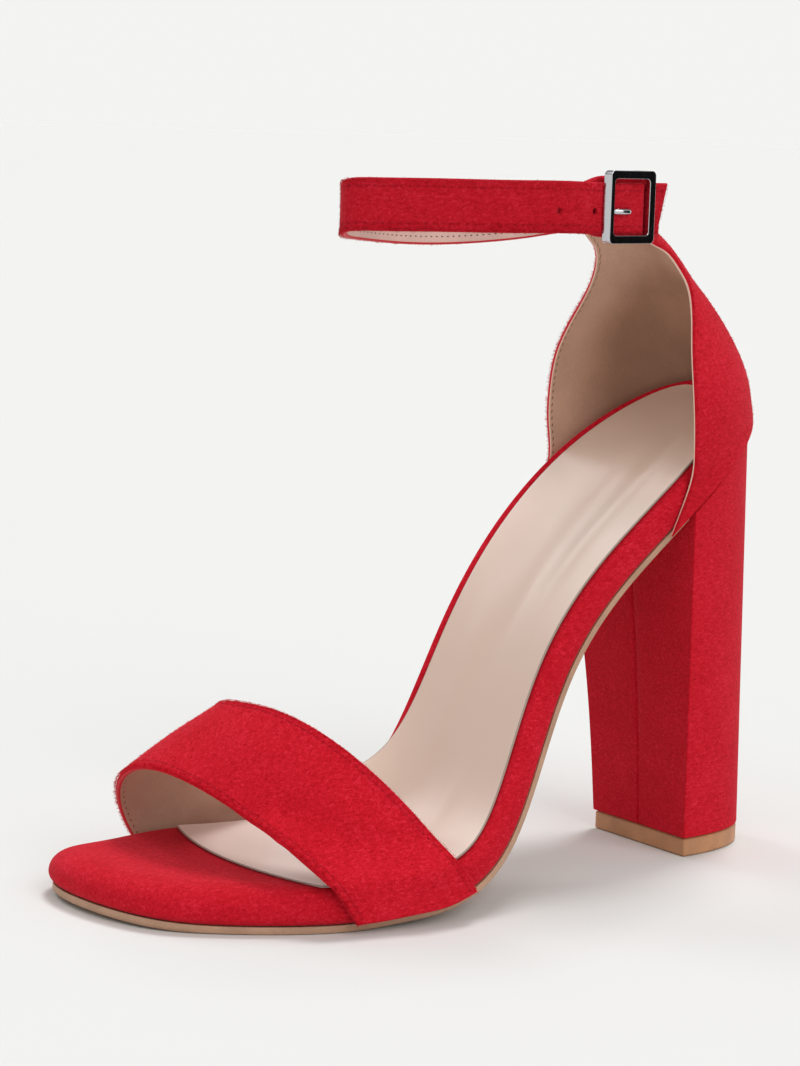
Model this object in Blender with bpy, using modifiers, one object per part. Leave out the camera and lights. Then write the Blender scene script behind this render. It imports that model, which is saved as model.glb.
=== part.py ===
"""Open-toe sandal on a tall block heel, left foot, with a buckled ankle strap.

Metres, +Z up. The toe points to -Y and the outer side of the foot to +X. Pieces are worked out
with the back of the heel seat at y = 0, and the whole shoe is then set over the origin.
"""
from collections import namedtuple
import math

import bmesh
import bpy
import numpy as np
from mathutils import Vector

# Driving sizes
PLAN_LENGTH = 0.192          # back of the heel seat to the toe tip, seen from above
TOE_TIP_X = -0.0240          # the toe leans to the inner side
FOOTBED_THICKNESS = 0.0090
OUTSOLE_THICKNESS = 0.0022
SOCK_THICKNESS = 0.0008
SOCK_INSET = 0.0019          # from the outer edge of the footbed
SOCK_INNER_INSET = 0.0042    # from its inner edge
OUTSOLE_INSET = 0.0014
CLEARANCE = 0.0003           # gap left between pieces that touch
COUNTER_WALL = 0.0013
COUNTER_LEAN = math.radians(33)
BAND_WALL = 0.0018
STRAP_WALL = 0.0020
TAB_WALL = 0.0014
HOLE_RADIUS = 0.00085        # punched holes of the strap
TIP_HEIGHT = 0.0050
TIP_WIDTH = 0.0374
TIP_DEPTH = 0.0305
TIP_SQUARENESS = 2.4         # exponent of the D-shaped outline, 2 is an ellipse
TIP_CENTRE_X = 0.0013
BREAST_Y = -0.0225           # flat front of the heel, at the floor
BREAST_RAKE = 0.0948         # how far the breast comes forward for each metre up
HEEL_COVER = 0.0005          # the heel's cover stands proud of the tip
HEEL_TOP_OFFSET = 0.0012     # the heel's top is flush with the counter at its front corners
HEEL_BACK_OFFSET = -0.0010   # and set in under it at the back
BUCKLE_LENGTH = 0.0176
BUCKLE_HEIGHT = 0.0186
BUCKLE_PLATE = 0.0020        # thickness of the frame's front
BUCKLE_SIDE_BAR = 0.0022
BUCKLE_CROSS_BAR = 0.0021
BUCKLE_REAR_BAR = 0.0016     # bar behind the strap, at the frame's heel end
BUCKLE_LEG = 0.00125         # wall above and below the strap, from the front to the rear bar
BUCKLE_ROUNDING = 0.0005
PRONG_RADIUS = 0.0006

# Plan outline of the footbed: share of the plan length from the heel, outer edge and inner edge
Edge = namedtuple("Edge", "share outer inner")
OUTLINE = (
    Edge(0.03, 0.0154, -0.0152),
    Edge(0.12, 0.0256, -0.0255),
    Edge(0.25, 0.0265, -0.0283),
    Edge(0.40, 0.0248, -0.0240),
    Edge(0.55, 0.0370, -0.0200),
    Edge(0.68, 0.0372, -0.0338),
    Edge(0.80, 0.0304, -0.0440),
    Edge(0.90, 0.0188, -0.0438),
    Edge(0.97, 0.0042, -0.0391),
)

# Side profile of the footbed: share of the plan length and height of its top
Level = namedtuple("Level", "share height")
PROFILE = (
    Level(0.00, 0.1292),
    Level(0.12, 0.1148),
    Level(0.25, 0.0949),
    Level(0.40, 0.0612),
    Level(0.55, 0.0206),
    Level(0.68, 0.0125),
    Level(0.74, 0.01142),
    Level(0.80, 0.01122),
    Level(0.86, 0.01122),
    Level(0.92, 0.01142),
    Level(1.00, 0.0127),
)

# Edge section of the footbed, from its top round to its underside: outward offset and depth
Rim = namedtuple("Rim", "offset depth")
FOOTBED_RIM = (
    Rim(-0.0036, 0.0),
    Rim(-0.0017, 0.0002),
    Rim(-0.0006, 0.0010),
    Rim(0.0, 0.0027),
    Rim(0.0, 0.0060),
    Rim(-0.0006, 0.0080),
    Rim(-0.0018, FOOTBED_THICKNESS),
)

# Counter, row by row: slanted and upright height over the seat, outward offset, front edge of each side,
# and what is added to the offset at the back, fading out towards the front edges
Cup = namedtuple("Cup", "slant upright offset outer_front inner_front back", defaults=(0.0,))
COUNTER_ROWS = (
    Cup(-0.0087, 0.0, 0.0017, -0.0443, -0.0450, -0.0012),
    Cup(-0.0060, 0.0, 0.0017, -0.0405, -0.0412, -0.0001),
    Cup(-0.0030, 0.0, 0.0020, -0.0367, -0.0372, 0.0005),
    Cup(0.0010, 0.0, 0.0028, -0.0336, -0.0341, 0.0007),
    Cup(0.0065, 0.0, 0.0036, -0.0313, -0.0318, 0.0005),
    Cup(0.0120, 0.0, 0.0039, -0.0289, -0.0294, 0.0002),
    Cup(0.0180, 0.0, 0.0037, -0.0259, -0.0264),
    Cup(0.0240, 0.0, 0.0030, -0.0222, -0.0228),
    Cup(0.0300, 0.0, 0.0020, -0.0169, -0.0174),
    Cup(0.0360, 0.0, 0.0009, -0.0092, -0.0118),
    Cup(0.0420, 0.0, 0.0001, -0.0066, -0.0082),
    Cup(0.0480, 0.0, -0.0011, -0.0064, -0.0066),
    Cup(0.0530, 0.0, -0.0025, -0.0090, -0.0068),
    Cup(0.0550, 0.0030, -0.0033, -0.0128, -0.0072),
    Cup(0.0556, 0.0064, -0.0035, -0.0134, -0.0076),
)

# Toe band, front and back edge: where it meets the sole on each side, and its crest
Hoop = namedtuple("Hoop", "outer_y inner_y rise lean skew fullness trail")
BAND_FRONT = Hoop(-0.1440, -0.1549, 0.0307, -0.0187, -0.0137, 1.88, 0.0)
BAND_BACK = Hoop(-0.1140, -0.1261, 0.0443, -0.0298, -0.0140, 2.4, 0.0080)
BAND_STAND = 0.0022          # height over the footbed up to which the band stays outside its edge
BAND_REACH = 0.0120          # height over the footbed up to which its slant inwards is held
BAND_SLANT = 1.1             # most that it slants inwards there for each metre up
BAND_CROWN = 0.0010          # the band's middle stands out this far between its two edges

# Where the strap lies flat under the buckle: middle of the buckle and its turn from straight ahead
BUCKLE_PLACE = (0.02412, -0.0582, 0.1771)
BUCKLE_TURN = math.radians(6.4)

# Ankle strap, along its middle from the counter's inner side to the buckle: plan place, height and width
Bend = namedtuple("Bend", "x y height width")
STRAP_ROUTE = (
    Bend(-0.0118, -0.0298, 0.1744, 0.0132),
    Bend(-0.0160, -0.0333, 0.1748, 0.0132),
    Bend(-0.0203, -0.0385, 0.1750, 0.0132),
    Bend(-0.0225, -0.0470, 0.1739, 0.0132),
    Bend(-0.0231, -0.0580, 0.1727, 0.0132),
    Bend(-0.0229, -0.0760, 0.1717, 0.0132),
    Bend(-0.0190, -0.0970, 0.1720, 0.0132),
    Bend(-0.0104, -0.1170, 0.1735, 0.0132),
    Bend(-0.0026, -0.1268, 0.1749, 0.0132),
    Bend(0.0033, -0.1293, 0.1762, 0.0132),
    Bend(0.0090, -0.1255, 0.1766, 0.0132),
    Bend(0.0168, -0.1115, 0.1768, 0.0132),
    Bend(0.0232, -0.0930, 0.17685, 0.0132),
    Bend(0.0256, -0.0760, 0.1769, 0.0132),
)

# Places measured from the middle of the buckle along the flat strap, towards the heel
STRAP_FLAT = (-0.0095, -0.0030, 0.0040, 0.0100, 0.0150)
STRAP_FLAT_HEIGHT = 0.1767
TAB_FLAT = (-0.0132, -0.0080, 0.0, 0.0070, 0.0112)
PRONG_HOLE = -0.0008
STRAP_HOLES = (-0.0112, -0.0229)
HOLE_HEIGHT = 0.1760
TAB_ROOT = Bend(0.0178, -0.0405, 0.1752, 0.0124)
TAB_WIDTH = 0.0152

STATIONS = 44                # cross-sections along the footbed
COUNTER_COLUMNS = 25
BAND_COLUMNS = 33
BAND_ROWS = 6
STRAP_COLUMNS = 71
TAB_COLUMNS = 15
HEEL_COLUMNS = 31
HEEL_ROWS = 9

# Colours of the finishes: base colour, roughness and metallic share
Finish = namedtuple("Finish", "colour roughness metallic")
FINISHES = {
    "suede": Finish((0.52, 0.010, 0.022, 1.0), 0.90, 0.0),
    "liner": Finish((0.74, 0.60, 0.52, 1.0), 0.38, 0.0),
    "sole": Finish((0.56, 0.37, 0.25, 1.0), 0.60, 0.0),
    "tip": Finish((0.40, 0.19, 0.09, 1.0), 0.55, 0.0),
    "chrome": Finish((0.62, 0.62, 0.63, 1.0), 0.12, 1.0),
}


def natural_spline(knots, values):
    """Smooth curve through the values, with no bend at its two ends."""
    count = len(knots)
    steps = np.diff(knots)
    rises = np.diff(values) / steps
    system = np.eye(count)
    bends = np.zeros(count)
    for row in range(1, count - 1):
        system[row, row - 1:row + 2] = steps[row - 1], 2 * (steps[row - 1] + steps[row]), steps[row]
        bends[row] = 6 * (rises[row] - rises[row - 1])
    bends = np.linalg.solve(system, bends)

    def value(at):
        at = np.clip(at, knots[0], knots[-1])
        cell = np.clip(np.searchsorted(knots, at) - 1, 0, count - 2)
        step = steps[cell]
        left = (knots[cell + 1] - at) / step
        right = 1 - left
        curve = (left ** 3 - left) * bends[cell] + (right ** 3 - right) * bends[cell + 1]
        return left * values[cell] + right * values[cell + 1] + curve * step ** 2 / 6

    return value


def closed_spline(points, samples):
    """Points spread along a smooth closed curve through the given ones."""
    lap = np.vstack([points[-4:], points, points[:5]])
    steps = np.sqrt(np.linalg.norm(np.diff(lap, axis=0), axis=1))
    knots = np.concatenate([[0.0], np.cumsum(steps)])
    at = np.linspace(knots[4], knots[4 + len(points)], samples)
    return np.column_stack([natural_spline(knots, lap[:, axis])(at) for axis in (0, 1)])


def footbed_sides():
    """Fine points of the footbed's outer and inner edge, each from the heel to the toe tip."""
    outer = [(edge.outer, -edge.share * PLAN_LENGTH) for edge in OUTLINE]
    inner = [(edge.inner, -edge.share * PLAN_LENGTH) for edge in OUTLINE]
    points = np.array([(0.0, 0.0)] + outer + [(TOE_TIP_X, -PLAN_LENGTH)] + inner[::-1])
    loop = closed_spline(points, 1601)
    toe = loop[:, 1].argmin()
    return loop[:toe + 1], loop[toe:][::-1]


OUTER_SIDE, INNER_SIDE = footbed_sides()
TOE_Y = OUTER_SIDE[-1, 1]
TOP_HEIGHT = natural_spline(
    np.array([level.share * PLAN_LENGTH for level in PROFILE]),
    np.array([level.height for level in PROFILE]),
)


def edge_points(side, ys):
    """Points of one edge at the given y, and the outward direction there, both in plan."""
    travel = -side[:, 1]
    along = np.interp(-ys, travel, np.arange(len(side)))
    cells = np.arange(len(side))
    points = np.column_stack([np.interp(along, cells, side[:, axis]) for axis in (0, 1)])
    slopes = np.gradient(side, axis=0)
    tangents = np.column_stack([np.interp(along, cells, slopes[:, axis]) for axis in (0, 1)])
    tangents /= np.linalg.norm(tangents, axis=1)[:, None]
    turn = 1.0 if side is OUTER_SIDE else -1.0
    return points, turn * np.column_stack([-tangents[:, 1], tangents[:, 0]])


def seat(points, depth):
    """Plan points set on the footbed's top, then sunk square to it by a depth."""
    depth = np.broadcast_to(depth, len(points))
    y = np.clip(points[:, 1], TOE_Y, 0.0)
    small = 1e-4
    slope = (TOP_HEIGHT(-y - small) - TOP_HEIGHT(-y + small)) / (2 * small)
    length = np.sqrt(1 + slope ** 2)
    height = TOP_HEIGHT(-y) - depth / length
    return np.column_stack([points[:, 0], points[:, 1] + depth * slope / length, height])


def station_ys():
    """Section places from heel to toe, closer together at the two round ends."""
    turns = np.linspace(0.0, math.pi, STATIONS + 1)
    return TOE_Y * (1 - np.cos(turns)) / 2


def rim_ring(offset, depth, first_y=0.0, last_y=None, floor=None, inner_inset=0.0):
    """Closed ring round the footbed at an offset and a depth, cut off square at two places."""
    ys = station_ys()
    outer, outer_out = edge_points(OUTER_SIDE, ys)
    inner, inner_out = edge_points(INNER_SIDE, ys[1:-1])
    plan = np.vstack([outer + offset * outer_out, (inner + (offset - inner_inset) * inner_out)[::-1]])
    plan[:, 1] = np.minimum(plan[:, 1], first_y + max(offset, 0.0))
    if last_y is not None:
        plan[:, 1] = np.maximum(plan[:, 1], last_y(plan[:, 0]))
        outer_limit = edge_points(OUTER_SIDE, plan[:, 1])[0][:, 0]
        inner_limit = edge_points(INNER_SIDE, plan[:, 1])[0][:, 0]
        plan[:, 0] = np.clip(plan[:, 0], inner_limit - offset + inner_inset, outer_limit + offset)
    ring = seat(plan, depth)
    if floor is not None:
        ring[:, 2] = np.maximum(ring[:, 2], floor)
    return ring


def new_mesh(name, points, faces, finish):
    """Object from points and faces, smooth with sharp edges kept, in the shoe's collection."""
    mesh = bpy.data.meshes.new(name)
    mesh.from_pydata([tuple(point) for point in points], [], faces)
    return new_object(name, mesh, finish)


def new_object(name, mesh, finish):
    """Object in the shoe's collection, a closed one with its faces turned outwards."""
    work = bmesh.new()
    work.from_mesh(mesh)
    bmesh.ops.remove_doubles(work, verts=work.verts, dist=1e-6)
    if not any(edge.is_boundary for edge in work.edges):
        bmesh.ops.recalc_face_normals(work, faces=work.faces)
        if work.calc_volume(signed=True) < 0:
            bmesh.ops.reverse_faces(work, faces=work.faces)
    work.to_mesh(mesh)
    work.free()
    mesh.shade_smooth()
    mesh.set_sharp_from_angle(angle=math.radians(40))
    mesh.materials.append(new_material(f"{name}_{finish}", FINISHES[finish]))
    piece = bpy.data.objects.new(name, mesh)
    SHOE.objects.link(piece)
    piece.parent = ROOT
    return piece


def ring_faces(rings, size):
    """Quads that join each ring to the next."""
    faces = []
    for ring in range(rings - 1):
        low, high = ring * size, (ring + 1) * size
        for place in range(size):
            ahead = (place + 1) % size
            faces.append((low + place, low + ahead, high + ahead, high + place))
    return faces


def strip_faces(start, size):
    """Strips across a ring that starts and ends at its heel point, from outer to inner edge."""
    half = size // 2
    faces = [(start, start + 1, start + size - 1)]
    for step in range(1, half - 1):
        faces.append((start + step, start + step + 1, start + size - step - 1, start + size - step))
    faces.append((start + half - 1, start + half, start + half + 1))
    return faces


def layer(name, rims, finish, **cut):
    """Closed slab that follows the footbed, from the rings of its edge section."""
    rings = [rim_ring(rim.offset, rim.depth, **cut) for rim in rims]
    size = len(rings[0])
    faces = ring_faces(len(rings), size)
    faces += strip_faces(0, size)
    faces += strip_faces((len(rings) - 1) * size, size)
    return new_mesh(name, np.vstack(rings), faces, finish)


def grid_faces(rows, columns):
    """Quads of an open grid of points, row by row."""
    faces = []
    for row in range(rows - 1):
        for column in range(columns - 1):
            corner = row * columns + column
            faces.append((corner, corner + 1, corner + columns + 1, corner + columns))
    return faces


def wall(name, grid, thickness, finish):
    """Open surface of rows and columns given an even thickness on its inner side."""
    rows, columns = grid.shape[:2]
    piece = new_mesh(name, grid.reshape(-1, 3), grid_faces(rows, columns), finish)
    solid = piece.modifiers.new("wall", "SOLIDIFY")
    solid.thickness = thickness
    solid.offset = -1.0
    solid.use_even_offset = True
    return piece


def smooth_path(points, samples):
    """Evenly spread points along a smooth open curve through the given ones."""
    points = np.array(points)
    knots = np.concatenate([[0.0], np.cumsum(np.linalg.norm(np.diff(points[:, :3], axis=0), axis=1))])
    fine = np.linspace(0.0, knots[-1], samples * 8)
    dense = np.column_stack([natural_spline(knots, column)(fine) for column in points.T])
    return even_points(dense, samples)


def breast_y(height):
    """Place of the heel's flat front at a height."""
    return BREAST_Y - BREAST_RAKE * height


def make_footbed():
    layer("footbed", FOOTBED_RIM, "suede")


def sock_front(x):
    """Front edge of the sock liner, a shallow arc under the toe band."""
    middle, reach, depth = 0.002, 0.042, 0.009
    return -0.1568 + depth * ((x - middle) / reach) ** 2


def make_sock_liner():
    top = -CLEARANCE - SOCK_THICKNESS
    rims = (
        Rim(-SOCK_INSET - 0.0004, top),
        Rim(-SOCK_INSET, top + 0.0002),
        Rim(-SOCK_INSET, -CLEARANCE),
    )
    layer("sock_liner", rims, "liner", last_y=sock_front, inner_inset=SOCK_INNER_INSET - SOCK_INSET)


def make_outsole():
    top = FOOTBED_THICKNESS + CLEARANCE
    bottom = top + OUTSOLE_THICKNESS
    rims = (
        Rim(-OUTSOLE_INSET, top),
        Rim(-OUTSOLE_INSET, bottom - 0.0006),
        Rim(-OUTSOLE_INSET - 0.0008, bottom),
    )
    layer("outsole", rims, "sole", first_y=heel_front_y() - 0.0016, floor=0.0)


def heel_front_y():
    """Plan place on the footbed whose underside meets the top of the heel's breast."""
    ys = np.linspace(-0.050, -0.025, 501)
    under = seat(np.column_stack([np.zeros_like(ys), ys]), heel_top_depth())
    return np.interp(0.0, under[:, 1] - breast_y(under[:, 2]), ys)


def heel_top_depth():
    return FOOTBED_THICKNESS + CLEARANCE


def tip_outline(count, grow=0.0):
    """D-shaped outline of the heel tip from its inner breast corner round the back to its outer one."""
    turns = np.linspace(math.pi, 0.0, 401)
    power = 2 / TIP_SQUARENESS
    x = np.sign(np.cos(turns)) * np.abs(np.cos(turns)) ** power * (TIP_WIDTH / 2 + grow)
    y = np.sin(turns) ** power * (TIP_DEPTH + grow)
    return even_points(np.column_stack([TIP_CENTRE_X + x, y]), count)


def even_points(points, count):
    """The same line with a number of points an even step apart."""
    travel = np.concatenate([[0.0], np.cumsum(np.linalg.norm(np.diff(points, axis=0), axis=1))])
    even = np.linspace(0.0, travel[-1], count)
    return np.column_stack([np.interp(even, travel, points[:, axis]) for axis in range(points.shape[1])])


def make_heel_block():
    front = heel_front_y()
    ys = front * (1 - np.cos(np.linspace(0.0, math.pi / 2, 60)))
    outer, outer_out = edge_points(OUTER_SIDE, ys)
    inner, inner_out = edge_points(INNER_SIDE, ys)
    offset = (HEEL_BACK_OFFSET + (HEEL_TOP_OFFSET - HEEL_BACK_OFFSET) * ys / front)[:, None]
    plan = np.vstack([(inner + offset * inner_out)[::-1], (outer + offset * outer_out)[1:]])
    top = even_points(seat(plan, heel_top_depth()), HEEL_COLUMNS)
    top[[0, -1], 1] = breast_y(top[[0, -1], 2])
    low = TIP_HEIGHT + CLEARANCE
    foot = tip_outline(HEEL_COLUMNS, HEEL_COVER)
    bottom = np.column_stack([foot[:, 0], breast_y(low) + foot[:, 1], np.full(HEEL_COLUMNS, low)])
    # The inner side widens late, just under the seat, and the outer side evenly
    inner_flare, outer_flare = 2.6, 1.0
    inner_share = np.clip(1 - np.linspace(0.0, 2.0, HEEL_COLUMNS), 0.0, 1.0)
    flare = outer_flare + (inner_flare - outer_flare) * inner_share
    rows = []
    for share in np.linspace(1.0, 0.0, HEEL_ROWS):
        row = bottom + (top - bottom) * share
        row[:, 0] = bottom[:, 0] + (top[:, 0] - bottom[:, 0]) * share ** flare
        rows.append(row)
    faces = ring_faces(HEEL_ROWS, HEEL_COLUMNS)
    last = HEEL_COLUMNS - 1
    for start in (0, (HEEL_ROWS - 1) * HEEL_COLUMNS):
        for step in range(HEEL_COLUMNS // 2):
            corners = (start + step, start + step + 1, start + last - step - 1, start + last - step)
            faces.append(tuple(dict.fromkeys(corners)))
    new_mesh("heel_block", np.vstack(rows), faces, "suede")


def make_heel_tip():
    foot = tip_outline(HEEL_COLUMNS)
    foot[:, 1] += breast_y(0.0)
    low = np.column_stack([foot, np.zeros(HEEL_COLUMNS)])
    high = np.column_stack([foot, np.full(HEEL_COLUMNS, TIP_HEIGHT)])
    faces = ring_faces(2, HEEL_COLUMNS)
    faces += [tuple(range(HEEL_COLUMNS)), tuple(range(HEEL_COLUMNS, 2 * HEEL_COLUMNS))]
    new_mesh("heel_tip", np.vstack([low, high]), faces, "tip")


def counter_row(row):
    """One row of the counter's outer face, from its inner front edge round the back to its outer one."""
    spread = 1 - np.cos(np.linspace(0.0, math.pi / 2, COUNTER_COLUMNS // 2 + 1))
    outer, outer_out = edge_points(OUTER_SIDE, row.outer_front * spread)
    inner, inner_out = edge_points(INNER_SIDE, row.inner_front * spread)
    offset = (row.offset + row.back * (1 - spread) ** 2)[:, None]
    plan = np.vstack([(inner + offset * inner_out)[::-1], (outer + offset * outer_out)[1:]])
    lean = np.array([0.0, -math.sin(COUNTER_LEAN), math.cos(COUNTER_LEAN)])
    return seat(plan, 0.0) + row.slant * lean + np.array([0.0, 0.0, row.upright])


def make_counter():
    grid = np.stack([counter_row(row) for row in COUNTER_ROWS])
    wall("counter", grid[:, ::-1], COUNTER_WALL, "suede")


def hoop_points(hoop):
    """One line across the toe band, from the sole's outer edge over the toes to its inner edge."""
    out = 1.5 * CLEARANCE + BAND_WALL
    feet = []
    trailing_y = hoop.inner_y + hoop.trail
    for side, y in ((OUTER_SIDE, hoop.outer_y), (INNER_SIDE, hoop.inner_y), (INNER_SIDE, trailing_y)):
        point, outward = edge_points(side, np.array([y]))
        feet.append(point + out * outward)
    start, end, trailing = seat(np.vstack(feet), FOOTBED_THICKNESS - CLEARANCE)
    turns = np.linspace(0.0, math.pi, BAND_COLUMNS)
    power = 2 / hoop.fullness
    across = np.sign(np.cos(turns)) * np.abs(np.cos(turns)) ** power
    up = np.abs(np.sin(turns)) ** power
    arch = (start + end) / 2 + across[:, None] * (start - end) / 2
    arch += up[:, None] * np.array([hoop.skew, hoop.lean, hoop.rise])
    # The inner leg trails towards the heel, more so towards its foot
    arch += np.maximum(-across, 0.0)[:, None] ** 2 * (trailing - end)
    # Near the sole the band stays outside the footbed's edge, then slants inwards
    over = np.maximum(arch[:, 2] - TOP_HEIGHT(-arch[:, 1]) - BAND_STAND, 0.0)
    for side, turn in ((OUTER_SIDE, 1.0), (INNER_SIDE, -1.0)):
        edge, outward = edge_points(side, arch[:, 1])
        limit = turn * (edge[:, 0] + out / outward[:, 0]) - BAND_SLANT * over
        inside = (over < BAND_REACH) & (turn * arch[:, 0] > 0) & (turn * arch[:, 0] < limit)
        arch[inside, 0] = turn * limit[inside]
    return arch


def make_toe_band():
    rows = []
    for share in np.linspace(0.0, 1.0, BAND_ROWS):
        hoop = Hoop(*(np.array(BAND_FRONT) + share * (np.array(BAND_BACK) - np.array(BAND_FRONT))))
        swell = BAND_CROWN * 4 * share * (1 - share)
        rows.append(hoop_points(hoop._replace(rise=hoop.rise + swell)))
    wall("toe_band", np.stack(rows)[:, ::-1], BAND_WALL, "suede")


def buckle_point(along, out=0.0):
    """Point of the flat run of the strap: along it from the buckle's middle, and out from its middle."""
    x, y, z = BUCKLE_PLACE
    turn = BUCKLE_TURN
    return Vector((
        x - along * math.sin(turn) + out * math.cos(turn),
        y + along * math.cos(turn) + out * math.sin(turn),
        z,
    ))


def flat_bends(places, out, height, width):
    """Rows of a strip's route for its flat run under the buckle."""
    points = [buckle_point(place, out) for place in places]
    return [Bend(point.x, point.y, height, width) for point in points]


def upright_strip(name, route, thickness, columns, finish):
    """Flat strip that stands on edge along a route, half its thickness to each side."""
    path = smooth_path(route, columns)
    middle = path[:, :3]
    half = np.zeros_like(middle)
    half[:, 2] = path[:, 3] / 2
    piece = wall(name, np.stack([middle + half, middle, middle - half]), thickness, finish)
    piece.modifiers["wall"].offset = 0.0
    return piece


def make_ankle_strap():
    flat = flat_bends(STRAP_FLAT, 0.0, STRAP_FLAT_HEIGHT, STRAP_ROUTE[-1].width)
    route = list(STRAP_ROUTE) + flat
    strap = upright_strip("ankle_strap", route, STRAP_WALL, STRAP_COLUMNS, "suede")
    for place in STRAP_HOLES + (PRONG_HOLE,):
        hole = new_cutter("strap_hole", round_bar(HOLE_RADIUS, 0.008))
        hole.location = (*buckle_point(place).xy, HOLE_HEIGHT)
        hole.rotation_euler = (0.0, math.pi / 2, BUCKLE_TURN)
        cut_away(strap, hole)


def make_buckle_tab():
    out = -(STRAP_WALL + TAB_WALL) / 2 - CLEARANCE
    height = BUCKLE_PLACE[2]
    route = flat_bends(TAB_FLAT, out, height, TAB_WIDTH)
    front = route[0]._replace(width=TAB_WIDTH - 0.0030)
    route = [front, *route[1:], TAB_ROOT]
    upright_strip("buckle_tab", route, TAB_WALL, TAB_COLUMNS, "suede")


def block(size):
    """Mesh of a box about its own middle."""
    work = bmesh.new()
    bmesh.ops.create_cube(work, size=1.0)
    bmesh.ops.scale(work, vec=Vector(size), verts=work.verts)
    mesh = bpy.data.meshes.new("block")
    work.to_mesh(mesh)
    work.free()
    return mesh


def round_bar(radius, length):
    """Mesh of a round bar about its own middle, along its own z."""
    work = bmesh.new()
    bmesh.ops.create_cone(
        work, cap_ends=True, segments=12, radius1=radius, radius2=radius, depth=length,
    )
    mesh = bpy.data.meshes.new("round_bar")
    work.to_mesh(mesh)
    work.free()
    return mesh


def new_cutter(name, mesh):
    """Hidden object that only cuts others."""
    cutter = bpy.data.objects.new(name, mesh)
    cutter.hide_render = True
    cutter.display_type = "WIRE"
    CUTTERS.objects.link(cutter)
    cutter.parent = ROOT
    return cutter


def cut_away(piece, cutter):
    cut = piece.modifiers.new(cutter.name, "BOOLEAN")
    cut.operation = "DIFFERENCE"
    cut.solver = "EXACT"
    cut.object = cutter


def make_buckle_frame():
    """Deep frame: an open front over the strap and a rear bar behind the strap and its tab."""
    slot_out = STRAP_WALL / 2 + CLEARANCE
    slot_in = -STRAP_WALL / 2 - TAB_WALL - 2 * CLEARANCE
    rear = slot_in - BUCKLE_REAR_BAR
    front = slot_out + BUCKLE_PLATE
    frame = new_object("buckle_frame", block((front - rear, BUCKLE_LENGTH, BUCKLE_HEIGHT)), "chrome")
    frame.location = buckle_point(0.0, (front + rear) / 2)
    frame.rotation_euler.z = BUCKLE_TURN
    over = 0.004
    inside = BUCKLE_HEIGHT - 2 * BUCKLE_LEG
    opening = BUCKLE_HEIGHT - 2 * BUCKLE_CROSS_BAR
    window = BUCKLE_LENGTH - 2 * BUCKLE_SIDE_BAR
    cuts = (
        ("buckle_window", front - rear + over, window, opening, 0.0, (front + rear) / 2),
        ("buckle_slot", slot_out - slot_in, BUCKLE_LENGTH + over, inside, 0.0, (slot_out + slot_in) / 2),
        ("buckle_back", slot_out - rear + over, BUCKLE_LENGTH + over, BUCKLE_HEIGHT + over,
         -BUCKLE_REAR_BAR - over / 2, (slot_out + rear - over) / 2),
    )
    for name, depth, length, height, along, out in cuts:
        cutter = new_cutter(name, block((depth, length, height)))
        cutter.location = buckle_point(along, out)
        cutter.rotation_euler.z = BUCKLE_TURN
        cut_away(frame, cutter)
    frame.modifiers.new("flat_faces", "TRIANGULATE")
    rounding = frame.modifiers.new("rounding", "BEVEL")
    rounding.width = BUCKLE_ROUNDING
    rounding.segments = 2
    rounding.limit_method = "ANGLE"


def make_buckle_prong():
    """Pin from the frame's front bar, bent down into a hole of the strap."""
    face = STRAP_WALL / 2
    start = -BUCKLE_LENGTH / 2 + BUCKLE_SIDE_BAR + CLEARANCE
    lift = face + CLEARANCE + PRONG_RADIUS
    stations = (
        (start, lift),
        (PRONG_HOLE - 0.0012, lift),
        (PRONG_HOLE - 0.0003, lift - 0.0004),
        (PRONG_HOLE, lift - 0.0013),
        (PRONG_HOLE, -face + PRONG_RADIUS / 2),
    )
    curve = bpy.data.curves.new("buckle_prong", "CURVE")
    curve.dimensions = "3D"
    curve.bevel_depth = PRONG_RADIUS
    curve.bevel_resolution = 2
    curve.use_fill_caps = True
    line = curve.splines.new("POLY")
    line.points.add(len(stations) - 1)
    for knot, (along, out) in zip(line.points, stations):
        knot.co = (*buckle_point(along, out).xy, HOLE_HEIGHT, 1.0)
    holder = bpy.data.objects.new("prong_curve", curve)
    SHOE.objects.link(holder)
    bpy.context.view_layer.update()
    mesh = bpy.data.meshes.new_from_object(holder.evaluated_get(bpy.context.evaluated_depsgraph_get()))
    bpy.data.objects.remove(holder, do_unlink=True)
    new_object("buckle_prong", mesh, "chrome")


def remove_old_scene():
    for item in list(bpy.data.objects):
        bpy.data.objects.remove(item, do_unlink=True)


def new_material(name, finish):
    material = bpy.data.materials.new(name)
    material.use_nodes = True
    shader = material.node_tree.nodes["Principled BSDF"]
    shader.inputs["Base Color"].default_value = finish.colour
    shader.inputs["Roughness"].default_value = finish.roughness
    shader.inputs["Metallic"].default_value = finish.metallic
    material.diffuse_color = finish.colour
    return material


def set_over_origin():
    """Move the shoe so that its box stands on z = 0 with its middle over the origin."""
    bpy.context.view_layer.update()
    depsgraph = bpy.context.evaluated_depsgraph_get()
    corners = []
    for piece in SHOE.objects:
        if piece.type == "MESH":
            shape = piece.evaluated_get(depsgraph)
            corners += [shape.matrix_world @ Vector(corner) for corner in shape.bound_box]
    corners = np.array(corners)
    middle = (corners.min(axis=0) + corners.max(axis=0)) / 2
    ROOT.location = (-middle[0], -middle[1], 0.0)


remove_old_scene()
SHOE = bpy.data.collections.new("ankle_strap_heel")
bpy.context.scene.collection.children.link(SHOE)
CUTTERS = bpy.data.collections.new("cutters")
bpy.context.scene.collection.children.link(CUTTERS)
ROOT = bpy.data.objects.new("shoe_root", None)
SHOE.objects.link(ROOT)

make_footbed()
make_sock_liner()
make_outsole()
make_heel_block()
make_heel_tip()
make_counter()
make_toe_band()
make_ankle_strap()
make_buckle_tab()
make_buckle_frame()
make_buckle_prong()
set_over_origin()
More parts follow.
